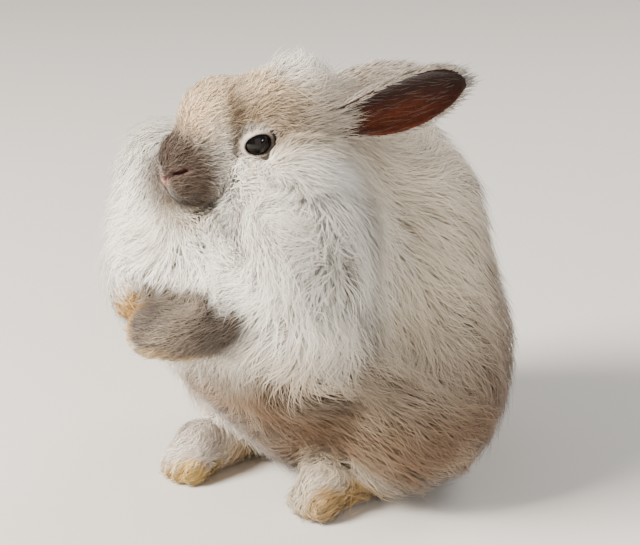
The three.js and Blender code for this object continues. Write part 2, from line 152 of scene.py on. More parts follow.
@dataclass(frozen=True)
class Eye:
    """The eyeball and the almond opening of its lids, in the head's frame."""

    at: Triple = (12.6, -1.0, 0.0)
    radius: float = 7.4
    long: float = 5.9
    high: float = 4.4
    slant: float = 8.0
    socket: float = 6.3
    lid: float = 8.2

    def spread(self, local: Array) -> Array:
        """How far points lie from the middle of the opening, 1 at its edge, on either side."""
        slant = math.radians(self.slant)
        y = local[:, 1] - self.at[1]
        z = local[:, 2] - self.at[2]
        along = math.cos(slant) * y + math.sin(slant) * z
        up = -math.sin(slant) * y + math.cos(slant) * z
        return np.hypot(along / self.long, up / self.high)


HEAD = Head()
EYE = Eye()
BLEND = 14.0
FACE_BLEND = 6.0
LIMB_BLEND = 4.0

BODY_EGGS = (
    Egg((0, 24, 58), (78, 70, 70), 66),
    Egg((2, 18, 104), (68, 62, 76), 60),
    Egg((-2, -24, 76), (56, 46, 60), 46),
    Egg((40, -46, 100), (27, 28, 44), 40),
    Egg((-42, -46, 98), (27, 28, 44), 38),
    Egg((48, 10, 46), (34, 43, 46), 42),
    Egg((-52, 10, 44), (34, 44, 46)),
)
NECK_EGGS = (
    Egg((-10, -56, 106), (58, 38, 44), 34),
    Egg((32, -44, 138), (30, 32, 30), 34),
    Egg((-36, -50, 146), (28, 32, 30), 36),
    Egg((4, -14, 158), (38, 34, 30), 40),
)
TAIL_EGGS = (Egg((0, 88, 34), (20, 20, 28)),)
SKULL_EGGS = (
    Egg((0, 15, 3), (20, 31, 24)),
    Egg((0, -11, 7), (15, 18, 18)),
    Egg((0, -23, -8), (11, 12, 13)),
    Egg((0, -31.5, -8), (6.5, 6.5, 8)),
    Egg((5, -28, -17), (7.5, 8.5, 8)),
    Egg((-5, -28, -17), (7.5, 8.5, 8)),
    Egg((0, -21, -25), (7, 9, 8)),
    Egg((0, -13, -13), (15.5, 17, 15)),
)
CHEEK_EGGS = (Egg((19, 12, -18), (19, 25, 20)), Egg((-19, 12, -18), (19, 25, 20)))
CREST_EGGS = (Egg((0, 23, 14), (14, 16, 18)),)


def limb_eggs(points: list[Triple], radii: list[float], each: int = 3) -> tuple[Egg, ...]:
    """Round masses strung along a limb.

    Args:
        points: points along its middle.
        radii: half thickness at each.
        each: how many masses stand between two points.

    Returns:
        The masses, from the first point to the last.
    """
    line = np.array(points, float)
    share = np.linspace(0, len(points) - 1, (len(points) - 1) * each + 1)
    at = [np.interp(share, range(len(points)), line[:, k]) for k in range(3)]
    size = np.interp(share, range(len(points)), radii)
    return tuple(Egg((x, y, z), (r, r, r)) for x, y, z, r in zip(*at, size))


PAW_TIPS = {Side.LEFT: ((9, -90, 98), (-4, -95, 96)), Side.RIGHT: ((-30, -80, 109), (-22, -88, 106))}
FORELEGS = {
    Side.LEFT: [(32, -54, 114), (22, -76, 104), *PAW_TIPS[Side.LEFT]],
    Side.RIGHT: [(-40, -52, 118), (-36, -66, 114), *PAW_TIPS[Side.RIGHT]],
}
FORELEG_RADII = [12, 12.5, 12, 11]
HIND_FEET = {Side.LEFT: ((29, -24), (38, 44)), Side.RIGHT: ((-39, -40), (-42, 28))}
FOOT_WIDTH = 12.0
FOOT_HEIGHT = 27.0
TOES = 4
PAW_TOE = (3.4, 6.0, 5.0)
PAW_TOE_SPREAD = 4.6
FOOT_TOE = (4.2, 9.0, 7.5)
FOOT_TOE_SPREAD = 5.6


def paw_toes(side: Side) -> list[Egg]:
    """The four toes side by side at the tip of a forepaw."""
    before, tip = (np.array(p, float) for p in PAW_TIPS[side])
    along = (tip - before) / np.linalg.norm(tip - before)
    across = np.array([along[1], -along[0], 0.0])
    across /= np.linalg.norm(across)
    made = []
    for k in range(TOES):
        at = tip + across * (k - (TOES - 1) / 2) * PAW_TOE_SPREAD - along * -2.0
        made.append(Egg((at[0], at[1], at[2] - 3), (PAW_TOE[1], PAW_TOE[0], PAW_TOE[2])))
    return made


def foot_toes(side: Side) -> list[Egg]:
    """The four toes side by side at the front of a hind foot."""
    toe = HIND_FEET[side][0]
    made = []
    for k in range(TOES):
        off = (k - (TOES - 1) / 2) * FOOT_TOE_SPREAD
        at = (toe[0] + off, toe[1] - FOOT_WIDTH + 0.45 * abs(off), FOOT_TOE[2] * 0.8)
        made.append(Egg(at, FOOT_TOE))
    return made


def foot_eggs(side: Side) -> tuple[Egg, ...]:
    """A hind foot laid flat from toes to heel, with its toes."""
    toe, heel = HIND_FEET[side]
    made = []
    for k in range(5):
        x = toe[0] + (heel[0] - toe[0]) * k / 4
        y = toe[1] + (heel[1] - toe[1]) * k / 4
        made.append(Egg((x, y, FOOT_HEIGHT * 0.45), (FOOT_WIDTH, FOOT_WIDTH + 3, FOOT_HEIGHT * 0.55)))
    return (*made, *foot_toes(side))


@dataclass(frozen=True)
class Mass:
    """Some egg-shaped masses that run into each other and carry one kind of coat.

    Args:
        cover: the kind of coat.
        eggs: the masses, out to the tips of the coat.
        blend: how softly they run into each other.
        depth: from the tips of the coat down to the skin.
        on_head: true where the masses are given in the head's frame.
        join: how softly they run into the masses before them.
    """

    cover: Cover
    eggs: tuple[Egg, ...]
    blend: float
    depth: float
    on_head: bool = False
    join: float = 6.0

    def distance(self, points: Array, local: Array) -> Array:
        """Distance from the points to the tips of this mass's coat, negative inside."""
        where = local if self.on_head else points
        total = None
        for egg in self.eggs:
            d = egg_distance(where, egg)
            total = d if total is None else soft_minimum(total, d, self.blend)
        return total


def egg_distance(points: Array, egg: Egg) -> Array:
    """Distance from points to one egg-shaped mass, negative inside."""
    rel = points - np.array(egg.at, float)
    a, b, up = egg.size
    c = np.where(rel[:, 2] < 0, egg.down or up, up)
    x, y, z = rel[:, 0] / a, rel[:, 1] / b, rel[:, 2] / c
    near = np.sqrt(x * x + y * y + z * z)
    slope = np.sqrt((x / a) ** 2 + (y / b) ** 2 + (z / c) ** 2)
    return np.where(slope < 1e-6, -min(a, b, up), near * (near - 1) / np.maximum(slope, 1e-6))


def soft_minimum(d: Array, e: Array, blend: float) -> Array:
    """The lower of two distances, rounded where they cross."""
    h = np.maximum(blend - np.abs(d - e), 0) / blend
    return np.minimum(d, e) - h * h * blend / 4


MASSES = (
    Mass(Cover.WOOL, BODY_EGGS, BLEND, 13.0),
    Mass(Cover.RUFF, NECK_EGGS, BLEND, 13.0, join=18.0),
    Mass(Cover.TAIL, TAIL_EGGS, BLEND, 7.0, join=10.0),
    Mass(Cover.FACE, SKULL_EGGS, FACE_BLEND, 1.2, True),
    Mass(Cover.CHEEK, CHEEK_EGGS, FACE_BLEND, 7.0, True, 9.0),
    Mass(Cover.CREST, CREST_EGGS, FACE_BLEND, 7.0, True),
    Mass(
        Cover.PAW,
        (
            *limb_eggs(FORELEGS[Side.LEFT], FORELEG_RADII),
            *paw_toes(Side.LEFT),
            *limb_eggs(FORELEGS[Side.RIGHT], FORELEG_RADII),
            *paw_toes(Side.RIGHT),
        ),
        LIMB_BLEND / 2,
        1.8,
    ),
    Mass(Cover.FOOT, (*foot_eggs(Side.LEFT), *foot_eggs(Side.RIGHT)), LIMB_BLEND / 2, 2.0),
)


def unit(vectors: Array) -> Array:
    """The vectors at length 1."""
    return vectors / np.maximum(np.linalg.norm(vectors, axis=-1, keepdims=True), 1e-9)


@dataclass
class Form:
    """The animal's whole form as two smooth surfaces: the tips of its coat, and its skin."""

    masses: tuple[Mass, ...] = MASSES

    def parts(self, points: Array) -> Array:
        """Distance to the tips of each mass, one column a mass."""
        local = HEAD.local(points)
        return np.column_stack([mass.distance(points, local) for mass in self.masses])

    def level(self, points: Array, share: Array | float) -> Array:
        """Distance to the surface that lies at a share of the way from skin to tips."""
        parts = self.parts(points)
        total = None
        for column, mass in enumerate(self.masses):
            d = parts[:, column] + mass.depth * (1 - share)
            total = d if total is None else soft_minimum(total, d, mass.join)
        return total

    def slope(
        self, points: Array, share: Array | float, step: float = 0.4
    ) -> tuple[Array, Array]:
        """The level at the points, and the direction in which it rises."""
        here = self.level(points, share)
        rise = np.empty_like(points)
        for axis in range(3):
            ahead = points.copy()
            ahead[:, axis] += step
            rise[:, axis] = self.level(ahead, share) - here
        return here, unit(rise)

    def settled(
        self, points: Array, share: Array | float, off: Array | float, rounds: int
    ) -> Array:
        """The points moved onto the surface at a share of the coat, off by a distance."""
        for _ in range(rounds):
            here, rise = self.slope(points, share)
            points = points - rise * np.clip(here - off, -6, 6)[:, None]
        return points

    def covers(self, points: Array) -> Array:
        """How much each mass's coat counts at points on the skin, one column a mass."""
        tips = self.parts(points)
        share = np.exp(-(tips - tips.min(axis=1, keepdims=True)) / 2.5)
        return share / share.sum(axis=1, keepdims=True)

    def lie(self, points: Array) -> Array:
        """The way the coat lies at the points: down and back on the body, back over the head."""
        x, y, z = points.T
        local = HEAD.local(points)
        u, v, w = local.T
        one = np.ones_like(x)
        ways = {
            Cover.WOOL: np.column_stack([0.004 * x, 0.6 * one, -one]),
            Cover.RUFF: np.column_stack([0.012 * (x + 6), 0.008 * (y + 40) - 0.1, -one]),
            Cover.TAIL: np.column_stack([0 * x, 0.5 * one, -one]),
            Cover.FACE: HEAD.turned(np.column_stack([0.03 * u, one, 0.02 * (w + 6)])),
            Cover.CHEEK: HEAD.turned(np.column_stack([0.014 * u, one, 0.03 * (w + 14) - 0.25])),
            Cover.CREST: HEAD.turned(np.column_stack([0.03 * u, one, 0.03 * (w - 18) + 0.45])),
            Cover.PAW: np.column_stack([-0.8 * np.sign(x + 16), -0.25 * one, -0.25 * one]),
            Cover.FOOT: np.column_stack([0.02 * (x - 30 * np.sign(x)), -one, -0.25 * one]),
        }
        share = self.covers(points)
        total = np.zeros_like(points)
        for column, mass in enumerate(self.masses):
            total += unit(ways[mass.cover]) * share[:, column, None]
        away = np.column_stack([0 * u, v - EYE.at[1], w - EYE.at[2]])
        near = np.clip((2.4 - EYE.spread(local)) / 1.2, 0, 1) * (np.abs(u) > 6) * (local[:, 1] < 14)
        return unit(total * (1 - 0.85 * near[:, None]) + HEAD.turned(unit(away)) * near[:, None])


@dataclass
class Place:
    """Turns the maker's frame into the row frame, where the origin is under the model's middle."""

    shift: Array = field(default_factory=lambda: np.zeros(3))

    def __post_init__(self) -> None:
        """Finds the shift from where the left eye's solid lies."""
        low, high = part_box("eye_left")
        middle = np.array([(a + b) / 2 for a, b in zip(low, high)]) / MM
        eye = HEAD.world(np.array([EYE.at]))[0]
        self.shift = np.array([middle[0] - eye[0], middle[1] - eye[1], 0.0])

    def metres(self, points: Array) -> Array:
        """Points in the row frame, in metres."""
        return (np.asarray(points, float) + self.shift) * MM

    def maker(self, points: Array) -> Array:
        """Points of the row frame back in the maker's frame."""
        return np.asarray(points, float) / MM - self.shift


def swirl(points: Array, scale: float, seed: int) -> Array:
    """A smooth random direction that changes over a scale in millimetres.

    Args:
        points: where it is wanted.
        scale: how far apart it has turned right round.
        seed: which random field.

    Returns:
        One vector a point, each part about between -1 and 1.
    """
    rng = np.random.default_rng(seed)
    total = np.zeros_like(points)
    for _ in range(6):
        wave = rng.normal(size=(3, 3)) * (2.2 / scale)
        total += np.sin(points @ wave.T + rng.uniform(0, 6.3, 3)) * 0.5
    return total


@dataclass(frozen=True)
class Tuft:
    """The sizes of the strands of one kind of coat.

    Args:
        count: how many strands.
        length: from root to tip.
        width: across at the widest.
        rings: cross sections before the tip.
        proud: how far tips stand beyond the coat's surface at most.
        clump: how strongly strands gather towards their bundle, from 0 to 1.
        bundle: strands in a bundle.
        swirl: how much the lie wanders.
        wave: how far a strand waves to the side.
        rise: how early a strand rises to the coat's surface, lower is earlier.
        top: how far up the coat its tip ends, 1 at the surface.
        sway: how much single strands turn off the lie, in radians.
        ticking: how much strands differ in brightness.
    """

    count: int
    length: float
    width: float
    rings: int = 4
    proud: float = 1.5
    clump: float = 0.6
    bundle: int = 8
    swirl: float = 0.5
    wave: float = 1.0
    rise: float = 0.6
    top: float = 1.0
    sway: float = 0.3
    ticking: float = 1.0


TUFTS = {
    Cover.WOOL: Tuft(27000, 28, 0.34, 3, 1.6, 0.5, 12, 0.6, 1.3, 0.5, 1.0, 0.3),
    Cover.RUFF: Tuft(19000, 25, 0.32, 3, 1.8, 0.45, 12, 0.5, 1.2, 0.5, 1.0, 0.3),
    Cover.TAIL: Tuft(1800, 20, 0.34, 3, 1.5, 0.5, 7, 0.4, 1.0, 0.5, 1.0, 0.3),
    Cover.FACE: Tuft(18500, 5.8, 0.36, 2, 0.8, 0.55, 6, 0.45, 0.25, 0.6, 1.0, 0.32, 2.8),
    Cover.CHEEK: Tuft(9000, 15, 0.3, 3, 1.6, 0.4, 8, 0.5, 0.8, 0.5, 1.0, 0.3),
    Cover.CREST: Tuft(2600, 14, 0.28, 3, 1.7, 0.5, 6, 0.6, 0.8, 0.5, 1.0, 0.35),
    Cover.PAW: Tuft(5000, 7.5, 0.36, 2, 0.8, 0.6, 8, 0.4, 0.3, 0.6, 1.0, 0.25, 2.4),
    Cover.FOOT: Tuft(6000, 8.0, 0.38, 2, 1.0, 0.5, 6, 0.35, 0.3, 0.6, 1.0, 0.25, 1.5),
}
UNDERCOATS = {
    Cover.WOOL: Tuft(6400, 18, 2.2, 2, 0.2, 0.0, 8, 0.5, 0.0, 0.8, 0.6, 0.35),
    Cover.RUFF: Tuft(4200, 16, 2.2, 2, 0.2, 0.0, 8, 0.4, 0.0, 0.8, 0.6, 0.35),
    Cover.TAIL: Tuft(400, 12, 2.2, 2, 0.2, 0.0, 8, 0.4, 0.0, 0.8, 0.6, 0.35),
    Cover.CHEEK: Tuft(2400, 10, 1.8, 2, 0.2, 0.0, 8, 0.4, 0.0, 0.8, 0.65, 0.3),
    Cover.CREST: Tuft(500, 8, 1.6, 2, 0.2, 0.0, 8, 0.4, 0.0, 0.8, 0.6, 0.3),
}
BLADE_SIDES = 3
BLADE_PROFILE = (0.75, 1.1, -1.45)
SHORT_FUR = 10.0
EYE_CLEAR = 1.05
BARE_LIMIT = 0.6
LEAST_SHARE = 0.3
MUZZLE_DENSITY = 1.2
UNDERSIDE = -0.75
UNDERSIDE_DENSITY = 0.35
BROAD_SWIRL = 50.0
FINE_SWIRL = 15.0
EAR_ROOT_HAIRS = 800
EAR_EDGE_HAIRS = 420
EAR_FUR = Tuft(3400, 6, 0.36, 2)
EAR_INNER_FUR = Tuft(160, 7, 0.24, 2)
LIGHTEST_PIECE = 190000


def clear() -> None:
    """Leaves edit mode with nothing selected."""
    if bpy.context.object and bpy.context.object.mode != "OBJECT":
        bpy.ops.object.mode_set(mode="OBJECT")
    bpy.ops.object.select_all(action="DESELECT")


def choose(piece: Piece) -> None:
    """Makes the piece the one that operators act on."""
    clear()
    piece.select_set(True)
    bpy.context.view_layer.objects.active = piece


def settle(piece: Piece) -> None:
    """Puts the piece's place into its mesh, so that its object sits at the origin."""
    choose(piece)
    bpy.ops.object.transform_apply(location=True, rotation=True, scale=True)


@contextmanager
def editing(piece: Piece, whole: bool = True):
    """Edit mode on a piece for the length of a block, with all of it selected or nothing."""
    choose(piece)
    bpy.ops.object.mode_set(mode="EDIT")
    bpy.ops.mesh.select_all(action="SELECT" if whole else "DESELECT")
    yield
    bpy.ops.object.mode_set(mode="OBJECT")


def modified(piece: Piece, kind: str, **settings) -> None:
    """Adds a modifier to the piece with its settings, and applies it."""
    choose(piece)
    made = piece.modifiers.new(kind.lower(), kind)
    for name, value in settings.items():
        setattr(made, name, value)
    bpy.ops.object.modifier_apply(modifier=made.name)


def unwrap(piece: Piece, margin: float) -> None:
    """Gives the piece its bake map, from its own shape."""
    while piece.data.uv_layers:
        piece.data.uv_layers.remove(piece.data.uv_layers[0])
    with editing(piece):
        bpy.ops.uv.smart_project(angle_limit=UNWRAP_ANGLE, island_margin=margin)
    piece.data.uv_layers[0].name = BAKE_MAP


def points_of(mesh: bpy.types.Mesh) -> Array:
    """A mesh's vertices, in metres."""
    flat = np.empty(len(mesh.vertices) * 3)
    mesh.vertices.foreach_get("co", flat)
    return flat.reshape(-1, 3)


def set_points(mesh: bpy.types.Mesh, points: Array) -> None:
    """Moves a mesh's vertices, in metres."""
    mesh.vertices.foreach_set("co", points.ravel())
    mesh.update()


def normals_of(mesh: bpy.types.Mesh) -> Array:
    """A mesh's vertex normals."""
    flat = np.empty(len(mesh.vertices) * 3)
    mesh.vertex_normals.foreach_get("vector", flat)
    return flat.reshape(-1, 3)


def set_values(mesh: bpy.types.Mesh, name: str, values: Array) -> None:
    """Keeps one number a vertex under a name that materials read."""
    made = mesh.attributes.new(name, "FLOAT", "POINT")
    made.data.foreach_set("value", np.asarray(values, np.float32))


def smooth_step(low: float, high: float, x: Array) -> Array:
    """Rises softly from 0 at low to 1 at high."""
    t = np.clip((x - low) / (high - low), 0, 1)
    return t * t * (3 - 2 * t)


@dataclass
class Ear:
    """An ear: a leaf rolled into a cup that opens outwards, in the head's frame.

    Args:
        side: the animal's left or right.
        root: where it grows, on the left.
        length: from root to tip.
        width: half its width, measured round the cup.
        wrap: half the angle that the cup goes round at the root, in radians.
        tip_wrap: the same at the tip.
        outward: how far the tip leans out.
        rises: how far the tip stands above the root on each side.
        root_width: its width at the root, as a share.
        flare: how much wider it opens before the tip.
        wall: its thickness.
        voxel: how fine its closed wall is.
        columns: steps across it.
        rows: steps along it.
    """

    side: Side
    root: Triple = (12.5, 26.0, 4.0)
    length: float = 67.0
    width: float = 17.5
    wrap: float = 1.9
    tip_wrap: float = 0.75
    outward: float = 9.0
    rises: tuple[float, float] = (14.0, 4.0)
    root_width: float = 0.25
    flare: float = 2.0
    wall: float = 1.9
    voxel: float = 0.7
    columns: int = 24
    rows: int = 44

    def axes(self) -> tuple[Array, Array, Array]:
        """Directions along the ear, into its cup, and across it."""
        sign = self.side.value
        rise = self.rises[0 if self.side is Side.LEFT else 1]
        along = unit(np.array([sign * self.outward, self.length, rise]))
        opening = np.array([sign * 0.82, -0.33, -0.24])
        opening = unit(opening - along * opening.dot(along))
        return along, opening, np.cross(along, opening)

    def turned_axes(self) -> Array:
        """The same directions in the maker's frame."""
        return HEAD.turned(np.array(self.axes()))

    def surface(self, share: Array, t: Array) -> Array:
        """Points in the head's frame at a share across, from -1 to 1, and t along, from 0 to 1."""
        along, opening, across = self.axes()
        swell = np.sin(np.pi * np.clip(t, 0.004, 0.996) ** 0.8) ** 0.6
        width = self.width * (self.root_width + (1 - self.root_width) * np.sqrt(t)) * swell
        wrap = self.wrap + (self.tip_wrap - self.wrap) * t
        radius = width / wrap + self.flare * np.clip((1 - t) * 12, 0, 1)
        bend = share * wrap
        root = np.array([self.side.value * self.root[0], self.root[1], self.root[2]])
        curl = np.sin(bend * 2.1) * 0.5 * t
        out = (1 - np.cos(bend)) * radius - 0.4 * radius + curl
        return (
            root
            + along * (self.length * t)[:, None]
            + across * (np.sin(bend) * radius)[:, None]
            + opening * out[:, None]
        )

    def make(self, place: Place) -> Piece:
        """The ear as a thin closed wall, from a grid that is bent, thickened and rounded."""
        clear()
        bpy.ops.mesh.primitive_grid_add(x_subdivisions=self.columns, y_subdivisions=self.rows, size=2)
        ear = bpy.context.object
        ear.name = "ear_" + self.side.name.lower()
        flat = points_of(ear.data)
        shaped = HEAD.world(self.surface(flat[:, 0], (flat[:, 1] + 1) / 2))
        set_points(ear.data, place.metres(shaped))
        modified(ear, "SOLIDIFY", thickness=self.wall * MM, offset=0)
        modified(ear, "REMESH", mode="VOXEL", voxel_size=self.voxel * MM)
        modified(ear, "SMOOTH", iterations=3)
        with editing(ear):
            bpy.ops.mesh.normals_make_consistent(inside=False)
        return ear


def line_distance(points: Array, line: Line) -> Array:
    """Distance from points to a line with corners."""
    nearest = np.full(len(points), 1e9)
    corners = np.array(line, float)
    for a, b in zip(corners[:-1], corners[1:]):
        t = np.clip(((points - a) @ (b - a)) / ((b - a) @ (b - a)), 0, 1)
        nearest = np.minimum(nearest, np.linalg.norm(points - a - t[:, None] * (b - a), axis=1))
    return nearest


@dataclass(frozen=True)
class Fold:
    """A fold with soft sides.

    Args:
        height: how far it stands up, or sinks where negative.
        width: half its width.
        at: where its middle lies, in the measure that it is read by.
    """

    height: float
    width: float
    at: float = 0.0

    def lift(self, reach: Array) -> Array:
        """Its height at points a reach away."""
        return self.height * np.exp(-(((reach - self.at) / self.width) ** 2))


NOSE_BACK = -28.0
LID_EDGE = Fold(0.9, 0.14, 1.16)
UPPER_LID = Fold(0.8, 0.16, 1.8)
LID_CREASE = Fold(-0.6, 0.12, 1.46)
NOSTRIL_SLIT = Fold(2.7, 1.05)
NOSTRIL_RIM = Fold(-0.5, 0.8, 2.2)
LIP_CLEFT = Fold(1.3, 0.9)
MOUTH_LINE = Fold(0.9, 1.0)


@dataclass
class Face:
    """The folds of the face, sunk into or raised from the skin, in the head's frame."""

    nostril: Line = (
        (0.8, -35.2, -16),
        (3.8, -35.4, -14.4),
        (7.4, -33.0, -12.2),
        (9.4, -30.5, -10.8),
    )
    cleft: Line = ((0, -35.0, -16.5), (0, -34.5, -20), (0, -32.5, -25))
    mouth: Line = ((0, -33, -25), (5, -31, -26.2), (10, -25, -24.4))
    flat: float = 0.5
    heart: Triple = (0.0, -24.0, -12.0)

    def lids(self, local: Array) -> Array:
        """The points round each eye drawn into a socket with a raised rim of lids."""
        made = local.copy()
        spread = EYE.spread(local)
        for side in Side:
            sign = side.value
            out = local[:, 0] * sign - EYE.at[0]
            near = (out > -5) & (spread < 2.6) & (np.abs(local[:, 2]) < 20)
            y = local[near, 1] - EYE.at[1]
            z = local[near, 2] - EYE.at[2]
            e = spread[near]
            reach = y * y + z * z
            socket = np.sqrt(np.maximum(EYE.socket**2 - reach, 0.5))
            lid = np.sqrt(np.maximum(EYE.lid**2 - reach, 4.0))
            inside = socket + (lid - socket) * smooth_step(0.92, 1.03, e)
            depth = inside + (out[near] - inside) * smooth_step(1.12, 1.8, e)
            depth += LID_EDGE.lift(e)
            depth += (UPPER_LID.lift(e) + LID_CREASE.lift(e)) * (z > 0)
            made[near, 0] = sign * (EYE.at[0] + depth)
        return made

    def mirrored(self, local: Array) -> Array:
        """The points with both sides of the face folded onto one."""
        return np.column_stack([np.abs(local[:, 0]), local[:, 1], local[:, 2]])

    def reach(self, probe: Array, line: Line) -> Array:
        """Distance to a fold's line, which counts less along the face's depth."""
        squash = np.array([1.0, self.flat, 1.0])
        return line_distance(probe * squash, tuple(tuple(np.array(corner) * squash) for corner in line))

    def nose(self, local: Array) -> Array:
        """The nostril slits, the cleft under them and the line of the mouth, pressed in."""
        probe = self.mirrored(local)
        inward = unit(np.array(self.heart) - local)
        slit = self.reach(probe, self.nostril)
        press = NOSTRIL_SLIT.lift(slit) + NOSTRIL_RIM.lift(slit)
        cleft, mouth = self.reach(probe, self.cleft), self.reach(probe, self.mouth)
        press += LIP_CLEFT.lift(cleft) + MOUTH_LINE.lift(mouth)
        return local + inward * press[:, None]

    def nostrils(self, local: Array) -> Array:
        """How deep in a nostril the points lie, from 0 to 1."""
        return 1 - smooth_step(0.8, 1.5, self.reach(self.mirrored(local), self.nostril))

    def bare(self, local: Array) -> Array:
        """How bare the points are: 1 round the nostrils and in the cleft lip, 0 in the fur."""
        probe = self.mirrored(local)
        slit = self.reach(probe, self.nostril)
        cleft = self.reach(probe, self.cleft)
        bare = np.maximum(1 - smooth_step(1.1, 2.0, slit), 1 - smooth_step(0.8, 1.7, cleft))
        return bare * (local[:, 1] < NOSE_BACK)


@dataclass
class Skin:
    """One skin over the whole animal, without a seam, ears and feet included."""

    form: Form
    place: Place
    voxel: float = 2.3
    smoothing: int = 4

    def egg(self, egg: Egg, depth: float, on_head: bool) -> Piece:
        """One mass as a ball at its size and place, as high as it reaches down; fit makes it an egg."""
        at = np.array([egg.at], float)
        centre = tuple(self.place.metres(HEAD.world(at) if on_head else at)[0])
        clear()
        bpy.ops.mesh.primitive_uv_sphere_add(segments=28, ring_count=18, radius=MM, location=centre)
        ball = bpy.context.object
        size = [max(s - depth, s * LEAST_CORE) for s in egg.size]
        with editing(ball):
            bpy.ops.transform.resize(value=size, center_override=centre)
            if egg.down:
                stretch = (egg.down - depth) / size[2]
                bpy.ops.transform.resize(value=(1, 1, stretch), center_override=centre)
        if on_head:
            ball.rotation_euler.z = math.radians(HEAD.yaw)
        settle(ball)
        return ball

    def masses(self) -> Piece:
        """All masses joined into one mesh and fused by a voxel remesh."""
        balls = [self.egg(egg, mass.depth, mass.on_head) for mass in self.form.masses for egg in mass.eggs]
        clear()
        for ball in balls:
            ball.select_set(True)
        bpy.context.view_layer.objects.active = balls[0]
        bpy.ops.object.join()
        skin = bpy.context.object
        skin.name = "skin"
        modified(skin, "REMESH", mode="VOXEL", voxel_size=self.voxel * MM)
        modified(skin, "SMOOTH", iterations=self.smoothing)
        return skin

    def fit(self, skin: Piece, rounds: int) -> None:
        """Draws the vertices onto the skin's own smooth surface, never below the floor."""
        points = self.place.maker(points_of(skin.data))
        points = self.form.settled(points, 0.0, 0.0, rounds)
        points[:, 2] = np.maximum(points[:, 2], 0.6)
        set_points(skin.data, self.place.metres(points))

    def refine(self, skin: Piece, inside) -> None:
        """Halves the faces whose middles lie in a region of the head's frame."""
        mesh = skin.data
        centres = np.empty(len(mesh.polygons) * 3)
        mesh.polygons.foreach_get("center", centres)
        local = HEAD.local(self.place.maker(centres.reshape(-1, 3)))
        wanted = inside(local)
        with editing(skin, whole=False):
            bpy.ops.mesh.select_mode(type="FACE")
        mesh.polygons.foreach_set("select", wanted)
        bpy.ops.object.mode_set(mode="EDIT")
        bpy.ops.mesh.subdivide(number_cuts=1)
        bpy.ops.object.mode_set(mode="OBJECT")

    def carve(self, skin: Piece) -> None:
        """Shapes lids, nostrils, lip and mouth."""
        face = Face()
        local = HEAD.local(self.place.maker(points_of(skin.data)))
        near = CARVED_FACE.holds(local)
        local[near] = face.nose(face.lids(local[near]))
        set_points(skin.data, self.place.metres(HEAD.world(local)))

    def add_ears(self, skin: Piece) -> None:
        """Joins both ears to the head, fused with it where the union comes out whole."""
        for side in Side:
            ear = Ear(side).make(self.place)
            whole = len(skin.data.polygons) + len(ear.data.polygons) // 2
            before = skin.data.copy()
            modified(skin, "BOOLEAN", operation="UNION", solver="EXACT", object=ear)
            if len(skin.data.polygons) > whole:
                bpy.data.objects.remove(ear, do_unlink=True)
                continue
            log.info("%s is sunk into the head, not fused", ear.name)
            skin.data = before
            choose(skin)
            ear.select_set(True)
            bpy.ops.object.join()

    def mark(self, skin: Piece) -> None:
        """Keeps on the skin what its finish reads: ear, inside of the ear, and bare places."""
        points = self.place.maker(points_of(skin.data))
        local = HEAD.local(points)
        beyond = self.form.level(points, 0.0)
        ear = smooth_step(0.6, 2.0, beyond) * (local[:, 1] > 18) * (np.abs(local[:, 0]) > 5)
        inner = np.zeros(len(points))
        normals = normals_of(skin.data)
        for side in Side:
            _, opening, _ = Ear(side).axes()
            facing = normals @ HEAD.turned(opening[None])[0]
            inner = np.where(np.sign(local[:, 0]) == side.value, smooth_step(-0.1, 0.35, facing), inner)
        spread = EYE.spread(local)
        at_eye = (np.abs(local[:, 0]) > EYE.at[0] - 3) & (np.abs(local[:, 2]) < 12)
        set_values(skin.data, "ear", ear)
        set_values(skin.data, "inner", inner * ear)
        set_values(skin.data, "bare", Face().bare(local))
        set_values(skin.data, "nostril", Face().nostrils(local) * (local[:, 1] < -26))
        set_values(skin.data, "rim", (1 - smooth_step(1.04, 1.16, spread)) * at_eye)

    def make(self) -> Piece:
        """The finished skin, unwrapped by its own shape."""
        skin = self.masses()
        self.fit(skin, 4)
        self.refine(skin, FINE_FACE.holds)
        self.refine(skin, lambda p: (EYE.spread(p) < 2.3) & (np.abs(p[:, 0]) > 8) | FINE_NOSE.holds(p))
        self.fit(skin, 2)
        self.carve(skin)
        self.add_ears(skin)
        self.mark(skin)
        unwrap(skin, 0.002)
        bpy.ops.object.shade_smooth()
        return skin


